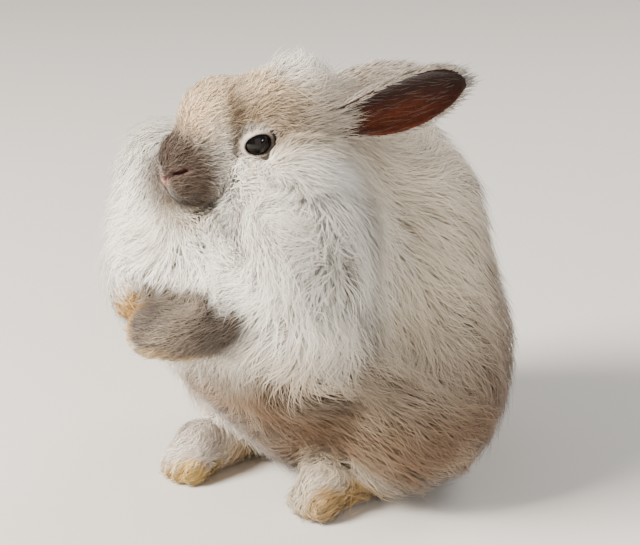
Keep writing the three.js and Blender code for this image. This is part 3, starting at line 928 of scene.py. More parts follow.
@dataclass
class Ground:
    """The skin's triangles as arrays, from which roots of strands are drawn."""

    corners: Array
    maps: Array
    areas: Array
    ear: Array
    inner: Array
    bare: Array
    facing: Array

    @classmethod
    def of(cls, skin: Piece, place: Place) -> "Ground":
        """Reads the triangles of the finished skin, in the maker's frame."""
        mesh = skin.data
        mesh.calc_loop_triangles()
        count = len(mesh.loop_triangles)
        verts = np.empty(count * 3, np.int32)
        loops = np.empty(count * 3, np.int32)
        mesh.loop_triangles.foreach_get("vertices", verts)
        mesh.loop_triangles.foreach_get("loops", loops)
        verts, loops = verts.reshape(-1, 3), loops.reshape(-1, 3)
        points = place.maker(points_of(mesh))
        uv = np.empty(len(mesh.loops) * 2)
        mesh.uv_layers[BAKE_MAP].data.foreach_get("uv", uv)
        uv = uv.reshape(-1, 2)
        corners = points[verts]
        cross = np.cross(corners[:, 1] - corners[:, 0], corners[:, 2] - corners[:, 0])
        area = np.linalg.norm(cross, axis=1) / 2
        kept = {}
        for name in ("ear", "inner", "bare"):
            values = np.empty(len(mesh.vertices), np.float32)
            mesh.attributes[name].data.foreach_get("value", values)
            kept[name] = values[verts].mean(axis=1)
        return cls(corners, uv[loops], area, kept["ear"], kept["inner"], kept["bare"], unit(cross))

    def on(self, side: Side) -> Array:
        """Which triangles lie on a side of the head."""
        return np.sign(HEAD.local(self.corners.mean(axis=1))[:, 0]) == side.value

    def draw(
        self, weight: Array, count: int, rng: np.random.Generator
    ) -> tuple[Array, Array, Array]:
        """Random roots.

        Args:
            weight: how densely each triangle is planted.
            count: how many roots.
            rng: the random source.

        Returns:
            The roots, their places on the bake map, and the triangle of each.
        """
        chance = self.areas * weight
        line = np.cumsum(chance / chance.sum())
        spot = (np.arange(count) + rng.uniform(0, 1, count)) / count
        picked = np.minimum(np.searchsorted(line, spot), len(line) - 1)
        a, b = rng.uniform(0, 1, (2, count))
        fold = a + b > 1
        a, b = np.where(fold, 1 - a, a), np.where(fold, 1 - b, b)
        share = np.column_stack([1 - a - b, a, b])
        roots = np.einsum("nk,nkd->nd", share, self.corners[picked])
        maps = np.einsum("nk,nkd->nd", share, self.maps[picked])
        return roots, maps, picked


def blades(
    paths: Array, outs: Array, widths: Array, maps: Array, own: float = 0.35
) -> Strands:
    """Closed, tapered, three-sided strands along paths.

    Args:
        paths: the middle of each strand, root to tip.
        outs: the coat's outward direction, at each root or all along each strand.
        widths: the widest of each strand.
        maps: each root's place on the bake map.
        own: how much a strand's own roundness shades it beside the coat's.

    Returns:
        Arrays of points, triangles, normals, bake map places and the share along the strand.
    """
    count, stations, _ = paths.shape
    rings = stations - 1
    share = np.linspace(0, 1, stations)
    base, swell, taper = BLADE_PROFILE
    profile = np.array([base + swell * s + taper * s * s for s in share])
    along = np.gradient(paths, axis=1)
    outs = outs if outs.ndim == 3 else np.repeat(outs[:, None, :], stations, axis=1)
    side = unit(np.cross(along, outs))
    lift = unit(np.cross(side, along))
    turn = 2 * np.pi * np.arange(BLADE_SIDES) / BLADE_SIDES
    half = widths[:, None, None] / 2 * profile[None, :rings, None]
    ring = (
        paths[:, :rings, None, :]
        + side[:, :rings, None, :] * (half * np.cos(turn + np.pi / 6))[..., None]
        + lift[:, :rings, None, :] * (half * 0.45 * np.sin(turn + np.pi / 6))[..., None]
    )
    size = rings * BLADE_SIDES + 1
    points = np.concatenate([ring.reshape(count, -1, 3), paths[:, -1:, :]], axis=1)
    round_of = unit(ring - paths[:, :rings, None, :]) * own + outs[:, :rings, None, :]
    normals = unit(np.concatenate([round_of.reshape(count, -1, 3), outs[:, -1:, :]], axis=1))
    faces = []
    for r in range(rings - 1):
        for k in range(BLADE_SIDES):
            a, b = r * BLADE_SIDES + k, r * BLADE_SIDES + (k + 1) % BLADE_SIDES
            faces += [[a, a + BLADE_SIDES, b], [b, a + BLADE_SIDES, b + BLADE_SIDES]]
    last = (rings - 1) * BLADE_SIDES
    for k in range(BLADE_SIDES):
        faces.append([last + k, size - 1, last + (k + 1) % BLADE_SIDES])
    faces.append([0, 1, 2])
    faces = np.array(faces)
    corner = np.arange(size)
    level = np.append(np.repeat(share[:rings], BLADE_SIDES), 1.0)
    offset = np.column_stack([(corner % BLADE_SIDES) * 0.0014, level * 0.003])
    uv = maps[:, None, :] + offset[None] - 0.0015
    return {
        "points": points.reshape(-1, 3),
        "normals": normals.reshape(-1, 3),
        "faces": (faces[None] + (np.arange(count) * size)[:, None, None]).reshape(-1, 3),
        "uv": uv.reshape(-1, 2),
        "along": np.tile(level, count),
        "size": np.array([size]),
    }


@dataclass
class Coat:
    """Grows strands over the skin and makes them into pieces."""

    form: Form
    place: Place
    ground: Ground
    finish: Finish

    def paths(self, roots: Array, tuft: Tuft, seed: int) -> tuple[Array, Array]:
        """The middles of strands that rise from their roots and lie down along the coat.

        Args:
            roots: where the strands start, on the skin.
            tuft: their sizes.
            seed: the random source's start.

        Returns:
            One row of points a strand, root to tip, and the coat's outward directions there.
        """
        rng = np.random.default_rng(seed)
        count = len(roots)
        length = tuft.length * rng.uniform(0.7, 1.25, count)
        local = HEAD.local(roots)
        beside_eye = (EYE.spread(local) < 3) & (np.abs(local[:, 0]) > 8) & (tuft.length < 20)
        shorter = 0.35 + 0.65 * smooth_step(1.2, 3.0, EYE.spread(local))
        length = np.where(beside_eye, length * shorter, length)
        sway = rng.normal(0, tuft.sway, count)
        proud = tuft.proud * (rng.uniform(-1.0, 0.4, count) + 3.2 * rng.uniform(0, 1, count) ** 8)
        phase = rng.uniform(0, 2 * np.pi, count)
        p = roots.copy()
        line = [p]
        outs = [self.form.slope(p, 1.0)[1]]
        for k in range(1, tuft.rings + 1):
            s = k / tuft.rings
            _, out = self.form.slope(p, s)
            way = self.form.lie(p) + swirl(p, BROAD_SWIRL, SEED + 1) * tuft.swirl * 0.8
            way = way + swirl(p, FINE_SWIRL, SEED + 2) * tuft.swirl * 0.45
            way = unit(way - out * np.sum(way * out, axis=1, keepdims=True))
            side = np.cross(out, way)
            turn = sway + 0.25 * np.sin(phase + 4 * s)
            way = way * np.cos(turn)[:, None] + side * np.sin(turn)[:, None]
            p = p + way * (length / tuft.rings)[:, None]
            share = tuft.top * s**tuft.rise
            p = self.form.settled(p, share, proud * share, 2)
            p[:, 2] = np.maximum(p[:, 2], FLOOR_GAP + 0.3 * (1 - s))
            line.append(p)
            outs.append(out)
        return np.stack(line, axis=1), np.stack(outs, axis=1)

    def gathered(self, paths: Array, tuft: Tuft, seed: int) -> Array:
        """The strands drawn together towards the middle strand of their bundle."""
        leaders = paths[:: tuft.bundle]
        tree = KDTree(len(leaders))
        for index, leader in enumerate(leaders):
            tree.insert(leader[0], index)
        tree.balance()
        nearest = np.array([tree.find(root)[1] for root in paths[:, 0]])
        rng = np.random.default_rng(seed)
        pull = tuft.clump * rng.uniform(0.6, 1.1, len(paths))
        share = np.linspace(0, 1, paths.shape[1]) ** 1.1
        lead = leaders[nearest]
        phase = rng.uniform(0, 6.3, len(leaders))[nearest]
        wave = np.sin(np.linspace(0, 7, paths.shape[1])[None] + phase[:, None])
        side = unit(np.cross(lead[:, -1] - lead[:, 0], np.array([0.3, 0.2, 1.0])))
        mixed = paths + (lead - paths) * (pull[:, None] * share[None])[..., None]
        mixed += side[:, None, :] * (wave * share[None] * tuft.wave)[..., None]
        mixed[..., 2] = np.maximum(mixed[..., 2], FLOOR_GAP)
        return mixed

    def strands(self, roots: Array, maps: Array, tuft: Tuft, seed: int) -> Strands:
        """Finished strands from roots on the skin."""
        rng = np.random.default_rng(seed)
        paths, outs = self.paths(roots, tuft, seed)
        if tuft.clump:
            paths = self.gathered(paths, tuft, seed + 7)
        local = HEAD.local(paths.reshape(-1, 3))
        over = (EYE.spread(local) < EYE_CLEAR) & (np.abs(local[:, 0]) > 10) & (np.abs(local[:, 0]) < 32)
        over |= Face().bare(local) > BARE_LIMIT
        shown = ~over.reshape(len(paths), -1).any(axis=1)
        roots, maps, paths, outs = (kept[shown] for kept in (roots, maps, paths, outs))
        widths = tuft.width * rng.uniform(0.7, 1.3, len(roots))
        made = blades(paths, outs, widths, maps, 0.9 if tuft.length < SHORT_FUR else 0.35)
        shade = 0.5 + tuft.ticking * rng.uniform(-0.5, 0.5, len(roots))
        made["shade"] = np.repeat(shade, made["size"][0])
        return made

    def piece(self, name: str, made: Strands, slot: str) -> Piece:
        """A piece of coat from finished strands."""
        mesh = bpy.data.meshes.new(name)
        points = self.place.metres(made["points"])
        faces = made["faces"].astype(np.int32)
        mesh.vertices.add(len(points))
        mesh.vertices.foreach_set("co", points.ravel())
        mesh.loops.add(faces.size)
        mesh.loops.foreach_set("vertex_index", faces.ravel())
        mesh.polygons.add(len(faces))
        mesh.polygons.foreach_set("loop_start", np.arange(0, faces.size, 3, dtype=np.int32))
        mesh.update(calc_edges=True)
        layer = mesh.uv_layers.new(name=BAKE_MAP)
        layer.data.foreach_set("uv", made["uv"][faces.ravel()].ravel())
        set_values(mesh, "along", made["along"])
        set_values(mesh, "shade", made["shade"])
        for name_of in ("ear", "inner"):
            if name_of in made:
                set_values(mesh, name_of, made[name_of])
        mesh.polygons.foreach_set("use_smooth", np.ones(len(faces), bool))
        mesh.normals_split_custom_set_from_vertices(made["normals"])
        mesh.materials.append(self.finish)
        made_piece = bpy.data.objects.new(name, mesh)
        bpy.context.collection.objects.link(made_piece)
        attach(made_piece, "root")
        log.info("%s: %d triangles", name, len(faces))
        return made_piece

    def grow(self, cover: Cover, tuft: Tuft, name: str, slot: str) -> None:
        """One kind of coat all over the skin that carries it, in pieces of a fair size."""
        column = [mass.cover for mass in self.form.masses].index(cover)
        middles = self.ground.corners.mean(axis=1)
        share = self.form.covers(middles)[:, column]
        local = HEAD.local(middles)
        weight = np.where(share > LEAST_SHARE, share, 0.0) * (self.ground.ear < 0.5) * (1 - self.ground.bare)
        if cover in (Cover.FACE, Cover.CHEEK, Cover.CREST):
            bald = 1.2 if cover is Cover.FACE else 1.7
            weight *= ~((EYE.spread(local) < bald) & (np.abs(local[:, 0]) > 9))
            weight *= 1 + MUZZLE_DENSITY * (local[:, 1] < -12)
        weight *= np.where(self.ground.facing[:, 2] < UNDERSIDE, UNDERSIDE_DENSITY, 1.0)
        rng = np.random.default_rng(SEED + column)
        roots, maps, _ = self.ground.draw(weight, tuft.count, rng)
        each = 2 * BLADE_SIDES * (tuft.rings - 1) + BLADE_SIDES + 1
        pieces = math.ceil(tuft.count * each / LIGHTEST_PIECE)
        turn = np.arctan2(roots[:, 1] - 10, roots[:, 0])
        order = np.argsort(turn)
        for index, part in enumerate(np.array_split(order, pieces)):
            part = np.sort(part)
            made = self.strands(roots[part], maps[part], tuft, SEED + 31 * column + index)
            self.piece(name if pieces == 1 else f"{name}_{index + 1}", made, slot)

    def combed(
        self,
        roots: Array,
        maps: Array,
        outs: Array,
        ways: Array,
        widths: Array,
        shade: Array,
        look: tuple[float, float],
        rings: int = 3,
        arch: Array | float = 0.0,
        droop: Array | float = 0.0,
    ) -> Strands:
        """Nearly straight hairs of an ear.

        Args:
            roots: where they start.
            maps: their roots' places on the bake map.
            outs: the skin's outward direction at each.
            ways: from root to tip.
            widths: the widest of each.
            shade: how bright each is.
            look: how far they take the colour of the ear and of its inside.
            rings: cross sections before the tip.
            arch: how far they bow outwards, as four times the height of the bow.
            droop: how far their tips sink.

        Returns:
            The hairs, as blades returns them, with what the ear's finish reads.
        """
        s = np.linspace(0, 1, rings + 1)
        paths = roots[:, None] + ways[:, None] * s[None, :, None]
        paths += outs[:, None] * (arch * (s - s * s)[None])[..., None]
        paths[..., 2] -= droop * s[None] ** 2
        made = blades(paths, outs, widths, maps)
        size = made["size"][0]
        made["shade"] = np.repeat(shade, size)
        made["ear"], made["inner"] = (np.full(len(roots) * size, value) for value in look)
        return made

    def ear_fur(self, ear: Ear, tuft: Tuft, inner: bool, rng: np.random.Generator) -> Strands:
        """Short hair on the back of an ear, or a little inside it."""
        along, _, across = ear.turned_axes()
        face = (self.ground.inner > 0.6) if inner else (self.ground.inner < 0.4)
        weight = (self.ground.ear > 0.5) * self.ground.on(ear.side) * face
        roots, maps, picked = self.ground.draw(weight.astype(float) + 1e-9, tuft.count, rng)
        outs = self.ground.facing[picked]
        one = (tuft.count, 1)
        length = tuft.length * rng.uniform(0.6, 1.3, one)
        way = along + across * rng.normal(0, 0.16, one) + outs * rng.uniform(0.04, 0.3, one)
        widths = tuft.width * rng.uniform(0.7, 1.2, tuft.count)
        shade = rng.uniform(0, 1, tuft.count)
        # hair inside the ear takes most of the painted shade and painted glow of the ear's inside
        look = (1.0, 0.8 if inner else 0.0)
        return self.combed(roots, maps, outs, way * length, widths, shade, look, tuft.rings, 0.25 * length)

    def ear_root_hair(self, ear: Ear, rng: np.random.Generator) -> Strands:
        """Longer hair that runs from the head up over an ear's root."""
        along, _, across = ear.turned_axes()
        base = HEAD.world(ear.surface(np.zeros(1), np.array([0.06])))[0]
        reach = np.linalg.norm(self.ground.corners.mean(axis=1) - base, axis=1)
        weight = np.clip(1.3 - reach / 16, 0, 1) * (self.ground.ear < 0.6) * (1 - self.ground.inner) + 1e-12
        count, one = EAR_ROOT_HAIRS, (EAR_ROOT_HAIRS, 1)
        roots, maps, picked = self.ground.draw(weight, count, rng)
        outs = self.ground.facing[picked]
        length = rng.uniform(7, 14, one)
        way = along + outs * rng.uniform(0.15, 0.45, one) + across * rng.normal(0, 0.18, one)
        shade = rng.uniform(-0.2, 1.0, count)
        return self.combed(roots, maps, outs, unit(way) * length, np.full(count, 0.34), shade, (0.6, 0.0))

    def ear_edge_hair(self, ear: Ear, rng: np.random.Generator) -> Strands:
        """Long loose hair on both edges of an ear."""
        along, opening, across = ear.turned_axes()
        count, one = EAR_EDGE_HAIRS, (EAR_EDGE_HAIRS, 1)
        share = np.where(rng.uniform(0, 1, count) < 0.5, -1.0, 1.0) * rng.uniform(0.93, 1.0, count)
        t = rng.uniform(0.06, 0.97, count)
        roots = HEAD.world(ear.surface(share, t))
        length = rng.uniform(4, 10, one) * (1.1 - 0.7 * t[:, None])
        way = along + across * np.sign(share)[:, None] * rng.uniform(0.1, 0.55, one)
        way = unit(way + opening * rng.normal(0.1, 0.2, one)) * length
        _, maps, _ = self.ground.draw((self.ground.ear > 0.5) * self.ground.on(ear.side) + 1e-9, count, rng)
        shade = rng.uniform(0.6, 1, count)
        outs = np.tile(opening, one)
        widths = np.full(count, 0.36)
        return self.combed(roots, maps, outs, way, widths, shade, (1.0, 0.0), droop=0.06 * length)

    def grow_ears(self) -> None:
        """Short hair on the backs of the ears, a little inside, and long hair at root and edge."""
        rng = np.random.default_rng(SEED + 77)
        parts = []
        for side in Side:
            ear = Ear(side)
            parts.append(self.ear_fur(ear, EAR_FUR, False, rng))
            parts.append(self.ear_fur(ear, EAR_INNER_FUR, True, rng))
            parts.append(self.ear_root_hair(ear, rng))
            parts.append(self.ear_edge_hair(ear, rng))
        keys = ("points", "normals", "uv", "along", "shade", "ear", "inner")
        total = {key: np.concatenate([part[key] for part in parts]) for key in keys}
        starts = np.cumsum([0] + [len(part["points"]) for part in parts[:-1]])
        total["faces"] = np.concatenate([part["faces"] + start for part, start in zip(parts, starts)])
        self.piece("ear_hair", total, "ear_skin")


@dataclass(frozen=True)
class Patch:
    """A marking, or a marking darkened by painted shade: a soft-edged egg-shaped place with its own colour.

    Args:
        name: what it is on the animal, not used by the code.
        at: its centre.
        size: half sizes.
        colour: red, green and blue from 0 to 255.
        strength: how far it covers what lies under it.
        soft: how wide its edge is, as a share of its size.
        on_head: true where it is given in the head's frame.
        both: true where the other side of the head has its twin.
    """

    name: str
    at: Triple
    size: Triple
    colour: tuple[int, int, int]
    strength: float = 1.0
    soft: float = 0.35
    on_head: bool = True
    both: bool = False

    def twins(self) -> tuple["Patch", ...]:
        """The patch, and its twin where it has one."""
        x, y, z = self.at
        return (self, replace(self, at=(-x, y, z))) if self.both else (self,)


PATCHES = (
    Patch("shoulder", (46, -44, 122), (34, 34, 44), (244, 239, 229), 0.8, 0.4, False),
    # rump, flank and belly: the coat's own tan, darkened further as painted shade on the lower and rear body
    Patch("rump_tan_and_painted_shade", (44, 98, 60), (68, 56, 82), (116, 82, 52), 0.88, 0.6, False),
    Patch("flank_tan_and_painted_shade", (64, 28, 8), (74, 94, 72), (100, 68, 40), 0.92, 0.55, False),
    Patch("belly_tan_and_painted_shade", (-6, -44, 30), (72, 54, 56), (116, 82, 48), 0.94, 0.45, False),
    Patch("ruff", (-14, -68, 124), (70, 46, 54), (247, 243, 234), 0.95, 0.3, False),
    Patch("near foot", (34, -14, 8), (24, 56, 22), (226, 212, 190), 0.95, 0.3, False),
    Patch("far foot", (-40, -20, 8), (24, 58, 24), (232, 221, 210), 0.95, 0.3, False),
    Patch("near sole", (42, -28, 4), (15, 24, 12), (196, 156, 88), 1.0, 0.4, False),
    Patch("far sole", (-34, -50, 2), (18, 16, 8), (216, 180, 104), 0.95, 0.4, False),
    Patch("heel stain", (-36, 0, 6), (16, 34, 14), (206, 172, 112), 0.8, 0.5, False),
    Patch("forepaw", (10, -90, 102), (30, 24, 16), (84, 73, 64), 1.0, 0.25, False),
    Patch("paw stain", (-17, -100, 90), (13, 18, 20), (186, 144, 80), 1.0, 0.35, False),
    Patch("paw under", (4, -94, 84), (28, 16, 7), (190, 150, 88), 0.85, 0.4, False),
    Patch("forehead", (0, 4, 22), (18, 32, 18), (212, 186, 152), 0.92, 0.35),
    Patch("temple", (16, 8, 10), (11, 20, 9), (160, 134, 104), 0.85, 0.5, both=True),
    Patch("crest", (0, 27, 34), (18, 18, 18), (246, 240, 230), 0.9, 0.4),
    Patch("bridge", (0, -20, 10), (14, 16, 14), (212, 182, 148), 0.92, 0.35),
    Patch("muzzle", (0, -31, -14), (22, 25, 21), (74, 57, 45), 0.98, 0.3),
    Patch("nose top", (0, -37, -2), (7, 8, 6), (76, 61, 51), 0.8, 0.5),
    Patch("lip", (0, -38, -17), (7, 6, 6), (176, 150, 136), 0.6, 0.5),
    Patch("chin", (0, -22, -34), (12, 12, 7), (232, 222, 208), 0.9, 0.35),
    Patch("lid fur", (15, -2, 0), (9, 11, 8.6), (214, 204, 192), 0.9, 0.2, both=True),
    Patch("brow", (13, -9, 8), (6, 3.0, 14), (98, 76, 54), 0.8, 0.8, both=True),
    Patch("eye line", (18, 16, 1), (8, 17, 3.2), (92, 72, 55), 0.9, 0.6, both=True),
    Patch("cheek", (26, 16, -22), (21, 24, 20), (248, 244, 236), 0.95, 0.2, both=True),
)
BASE_WOOL = (226, 211, 188)
PATCHY_WOOL = (204, 184, 160)
EAR_BACK_STREAK = (142, 124, 106)
# near-black streaks inside the ear, part of its painted shade
EAR_INSIDE_SHADE_STREAK = (34, 14, 8)
CORNEA = 0.05
EAR_SLOPE = 0.209
PUPIL = (7, 6, 6)
IRIS = (20, 13, 10)
FLOOR_COLOUR = (0.72, 0.69, 0.65, 1)
EAR_BACK = (206, 193, 178)
# the ear's inside: reddish skin darkened as painted shade, and a painted glow of light shining through the
# ear
EAR_INSIDE_PAINTED_SHADE = (27, 10, 6)
EAR_PAINTED_GLOW = (106, 46, 19)
NOSE_PINK = (112, 68, 60)
NOSTRIL_RED = (40, 7, 6)
LID_RIM = (132, 118, 110)


def linear(colour: tuple[int, int, int]) -> tuple[float, float, float, float]:
    """A colour of 0 to 255 as the shader wants it."""
    made = [c / 255 for c in colour]
    return (*[c / 12.92 if c <= 0.04045 else ((c + 0.055) / 1.055) ** 2.4 for c in made], 1.0)


@dataclass
class Graph:
    """Adds and joins nodes in a node tree."""

    tree: bpy.types.NodeTree

    def add(self, kind: str, **settings) -> bpy.types.Node:
        """A node of a kind, with its settings."""
        node = self.tree.nodes.new(kind)
        for name, value in settings.items():
            setattr(node, name, value)
        return node

    def join(self, source, target) -> None:
        """Links two sockets, or sets the second to a plain value."""
        if isinstance(source, (tuple, int, float)):
            target.default_value = source
        else:
            self.tree.links.new(source, target)

    def vector(self, operation: str, a, b=None):
        """A vector sum, and its output."""
        node = self.add("ShaderNodeVectorMath", operation=operation)
        self.join(a, node.inputs[0])
        if b is not None:
            self.join(b, node.inputs[1])
        return node.outputs["Value" if operation in ("LENGTH", "DOT_PRODUCT") else "Vector"]

    def number(self, operation: str, a, b=0.0, clamp: bool = False):
        """A sum of numbers, and its output."""
        node = self.add("ShaderNodeMath", operation=operation, use_clamp=clamp)
        self.join(a, node.inputs[0])
        self.join(b, node.inputs[1])
        return node.outputs[0]

    def ramp(self, value, low: float, high: float, start: float, end: float):
        """A number that goes softly from start to end as value goes from low to high."""
        node = self.add("ShaderNodeMapRange", interpolation_type="SMOOTHSTEP")
        self.join(value, node.inputs["Value"])
        for name, setting in (("From Min", low), ("From Max", high), ("To Min", start), ("To Max", end)):
            node.inputs[name].default_value = setting
        return node.outputs["Result"]

    def mix(self, factor, a, b, blend: str = "MIX"):
        """Colour a covered by colour b by a factor."""
        node = self.add("ShaderNodeMix", data_type="RGBA", blend_type=blend, clamp_factor=True)
        for socket, value in zip((node.inputs[0], node.inputs[6], node.inputs[7]), (factor, a, b)):
            self.join(value, socket)
        return node.outputs[2]

    def attribute(self, name: str):
        """A number kept on the mesh."""
        return self.add("ShaderNodeAttribute", attribute_name=name).outputs["Fac"]

    def noise(self, place, scale: float, detail: float = 2.0, colour: bool = False):
        """Noise over a place in millimetres."""
        node = self.add("ShaderNodeTexNoise")
        self.join(place, node.inputs["Vector"])
        node.inputs["Scale"].default_value = scale
        node.inputs["Detail"].default_value = detail
        return node.outputs["Color" if colour else "Fac"]


@dataclass(frozen=True)
class CoatFinish:
    """How fur or skin takes the light.

    Args:
        name: the finish's name.
        roots: brightness at the root of a strand, lowered as painted shade deep in the coat; on the skin,
            how bright the skin under the coat is, lowered as painted shade.
        tips: brightness at its tip.
        roughness: of the surface.
        sheen: the soft glow of fine hair.
        bump: how strongly short hair stands in relief, 0 for strands.
    """

    name: str
    roots: float
    tips: float
    roughness: float
    sheen: float
    bump: float = 0.0


# strand roots a little darker than their tips, and the skin under the coat darker: painted shade deep in the
# coat
STRANDS = CoatFinish("strands", 0.92, 1.0, 0.6, 0.35)
HIDE = CoatFinish("hide", 0.92, 0.92, 0.75, 0.3, 0.6)


@dataclass
class Finishes:
    """The markings, with their painted shade and painted glow, and the materials that share them."""

    place: Place
    markings: bpy.types.NodeTree = None

    def __post_init__(self) -> None:
        """Builds the shared markings."""
        self.markings = self.make_markings()

    def make_markings(self) -> bpy.types.NodeTree:
        """The colours of the coat over the whole animal, as one group, with painted shade on the lower and
        rear body and inside the ears, and a painted glow in the ears.
        """
        tree = bpy.data.node_groups.new("coat_markings_and_painted_shade", "ShaderNodeTree")
        tree.interface.new_socket("Ear", in_out="INPUT", socket_type="NodeSocketFloat")
        tree.interface.new_socket("Inner", in_out="INPUT", socket_type="NodeSocketFloat")
        tree.interface.new_socket("Color", in_out="OUTPUT", socket_type="NodeSocketColor")
        graph = Graph(tree)
        source = graph.add("NodeGroupInput")
        result = graph.add("NodeGroupOutput")
        coords = graph.add("ShaderNodeTexCoord").outputs["Object"]
        scaled = graph.vector("MULTIPLY", coords, (1 / MM,) * 3)
        body = graph.vector("SUBTRACT", scaled, tuple(self.place.shift))
        wobble = graph.noise(body, 0.09, 3.0, colour=True)
        wobble = graph.vector("MULTIPLY", graph.vector("SUBTRACT", wobble, (0.5,) * 3), (16.0,) * 3)
        small = graph.noise(body, 0.5, 2.0, colour=True)
        small = graph.vector("MULTIPLY", graph.vector("SUBTRACT", small, (0.5,) * 3), (3.0,) * 3)
        rotate = graph.add("ShaderNodeVectorRotate", rotation_type="Z_AXIS")
        graph.join(graph.vector("SUBTRACT", body, HEAD.at), rotate.inputs["Vector"])
        rotate.inputs["Angle"].default_value = -math.radians(HEAD.yaw)
        head = graph.vector("ADD", rotate.outputs["Vector"], small)
        body = graph.vector("ADD", body, wobble)
        colour = linear(BASE_WOOL)
        for patch in (twin for marking in PATCHES for twin in marking.twins()):
            place = head if patch.on_head else body
            inside = graph.vector("DIVIDE", graph.vector("SUBTRACT", place, patch.at), patch.size)
            reach = graph.vector("LENGTH", inside)
            mask = graph.ramp(reach, 1 - patch.soft, 1 + patch.soft, patch.strength, 0.0)
            colour = graph.mix(mask, colour, linear(patch.colour))
        patchy = graph.noise(body, 0.03, 4.0)
        colour = graph.mix(graph.ramp(patchy, 0.45, 0.75, 0.0, 0.35), colour, linear(PATCHY_WOOL))
        ear = self.ear_colour(graph, head)
        colour = graph.mix(source.outputs["Ear"], colour, ear[0])
        # the inside of the ear takes its painted shade and painted glow
        colour = graph.mix(source.outputs["Inner"], colour, ear[1])
        graph.join(colour, result.inputs["Color"])
        return tree

    def ear_colour(self, graph: Graph, head) -> tuple:
        """The colours of the ear's back, and of its inside: reddish skin darkened by painted shade, with a
        painted glow of light shining through the ear, both streaked along the ear.
        """
        stretched = graph.vector("MULTIPLY", head, (1.0, 0.12, 1.0))
        streak = graph.noise(stretched, 0.9, 3.0)
        back = graph.mix(graph.ramp(streak, 0.35, 0.65, 0.0, 0.7), linear(EAR_BACK), linear(EAR_BACK_STREAK))
        along = graph.add("ShaderNodeSeparateXYZ")
        graph.join(head, along.inputs[0])
        # painted glow of light shining through the ear, strongest midway along it and low in its cup
        middle = graph.ramp(along.outputs["Y"], 30, 52, 0.0, 1.0)
        far = graph.ramp(along.outputs["Y"], 66, 92, 1.0, 0.25)
        axis = graph.number("MULTIPLY", along.outputs["Y"], EAR_SLOPE)
        low = graph.ramp(graph.number("SUBTRACT", along.outputs["Z"], axis), -9, 2, 1.0, 0.12)
        glow = graph.number("MULTIPLY", graph.number("MULTIPLY", middle, far), low)
        inside = graph.mix(glow, linear(EAR_INSIDE_PAINTED_SHADE), linear(EAR_PAINTED_GLOW))
        inside = graph.mix(graph.ramp(streak, 0.4, 0.7, 0.0, 0.5), inside, linear(EAR_INSIDE_SHADE_STREAK))
        return back, inside

    def started(self, name: str) -> tuple:
        """A new material, its graph, its shader, and places on the piece in millimetres."""
        material = bpy.data.materials.new(name)
        material.use_nodes = True
        graph = Graph(material.node_tree)
        coords = graph.add("ShaderNodeTexCoord").outputs["Object"]
        scaled = graph.vector("MULTIPLY", coords, (1 / MM,) * 3)
        return material, graph, material.node_tree.nodes["Principled BSDF"], scaled

    def coat(self, finish: CoatFinish, on_skin: bool) -> Finish:
        """The material of the strands or of the skin under them."""
        material, graph, shader, scaled = self.started(finish.name)
        group = graph.add("ShaderNodeGroup", node_tree=self.markings)
        graph.join(graph.attribute("ear"), group.inputs["Ear"])
        graph.join(graph.attribute("inner"), group.inputs["Inner"])
        colour = group.outputs["Color"]
        shader.inputs["Roughness"].default_value = finish.roughness
        shader.inputs["Sheen Weight"].default_value = finish.sheen
        shader.inputs["Sheen Roughness"].default_value = 0.4
        shader.inputs["Specular IOR Level"].default_value = 0.25
        if on_skin:
            # the skin under the coat darkened as painted shade, the ears a little less
            level = graph.ramp(graph.attribute("ear"), 0.2, 0.9, finish.roots, 0.95)
            colour = self.dimmed(graph, colour, level)
            colour = graph.mix(graph.attribute("bare"), colour, linear(NOSE_PINK))
            colour = graph.mix(graph.attribute("nostril"), colour, linear(NOSTRIL_RED))
            colour = graph.mix(graph.attribute("rim"), colour, linear(LID_RIM))
            grain = graph.noise(graph.vector("MULTIPLY", scaled, (1.0, 0.5, 1.0)), 1.6, 3.0)
            bump = graph.add("ShaderNodeBump")
            bump.inputs["Strength"].default_value = finish.bump
            bump.inputs["Distance"].default_value = 0.0006
            graph.join(grain, bump.inputs["Height"])
            graph.join(bump.outputs["Normal"], shader.inputs["Normal"])
        else:
            # darker towards the root: painted shade deep in the coat
            along = graph.ramp(graph.attribute("along"), 0.0, 0.8, finish.roots, finish.tips)
            shade = graph.number("MULTIPLY_ADD", graph.attribute("shade"), 0.3)
            shade.node.inputs[2].default_value = 0.84
            colour = self.dimmed(graph, colour, graph.number("MULTIPLY", along, shade))
        graph.join(colour, shader.inputs["Base Color"])
        return material

    def dimmed(self, graph: Graph, colour, level):
        """A colour made darker or lighter by a number."""
        scale = graph.add("ShaderNodeVectorMath", operation="SCALE")
        graph.join(colour, scale.inputs[0])
        graph.join(level, scale.inputs["Scale"])
        return scale.outputs["Vector"]

    def eye(self) -> Finish:
        """A dark wet eye, mottled at random between near-black and a barely lighter brown."""
        material, graph, shader, scaled = self.started("wet_eye")
        grain = graph.noise(scaled, 0.8, 3.0)
        colour = graph.mix(graph.ramp(grain, 0.3, 0.7, 0.0, 1.0), linear(PUPIL), linear(IRIS))
        graph.join(colour, shader.inputs["Base Color"])
        shader.inputs["Roughness"].default_value = 0.08
        shader.inputs["Specular IOR Level"].default_value = 0.3
        shader.inputs["Coat Weight"].default_value = 0.08
        shader.inputs["Coat Roughness"].default_value = 0.03
        return material


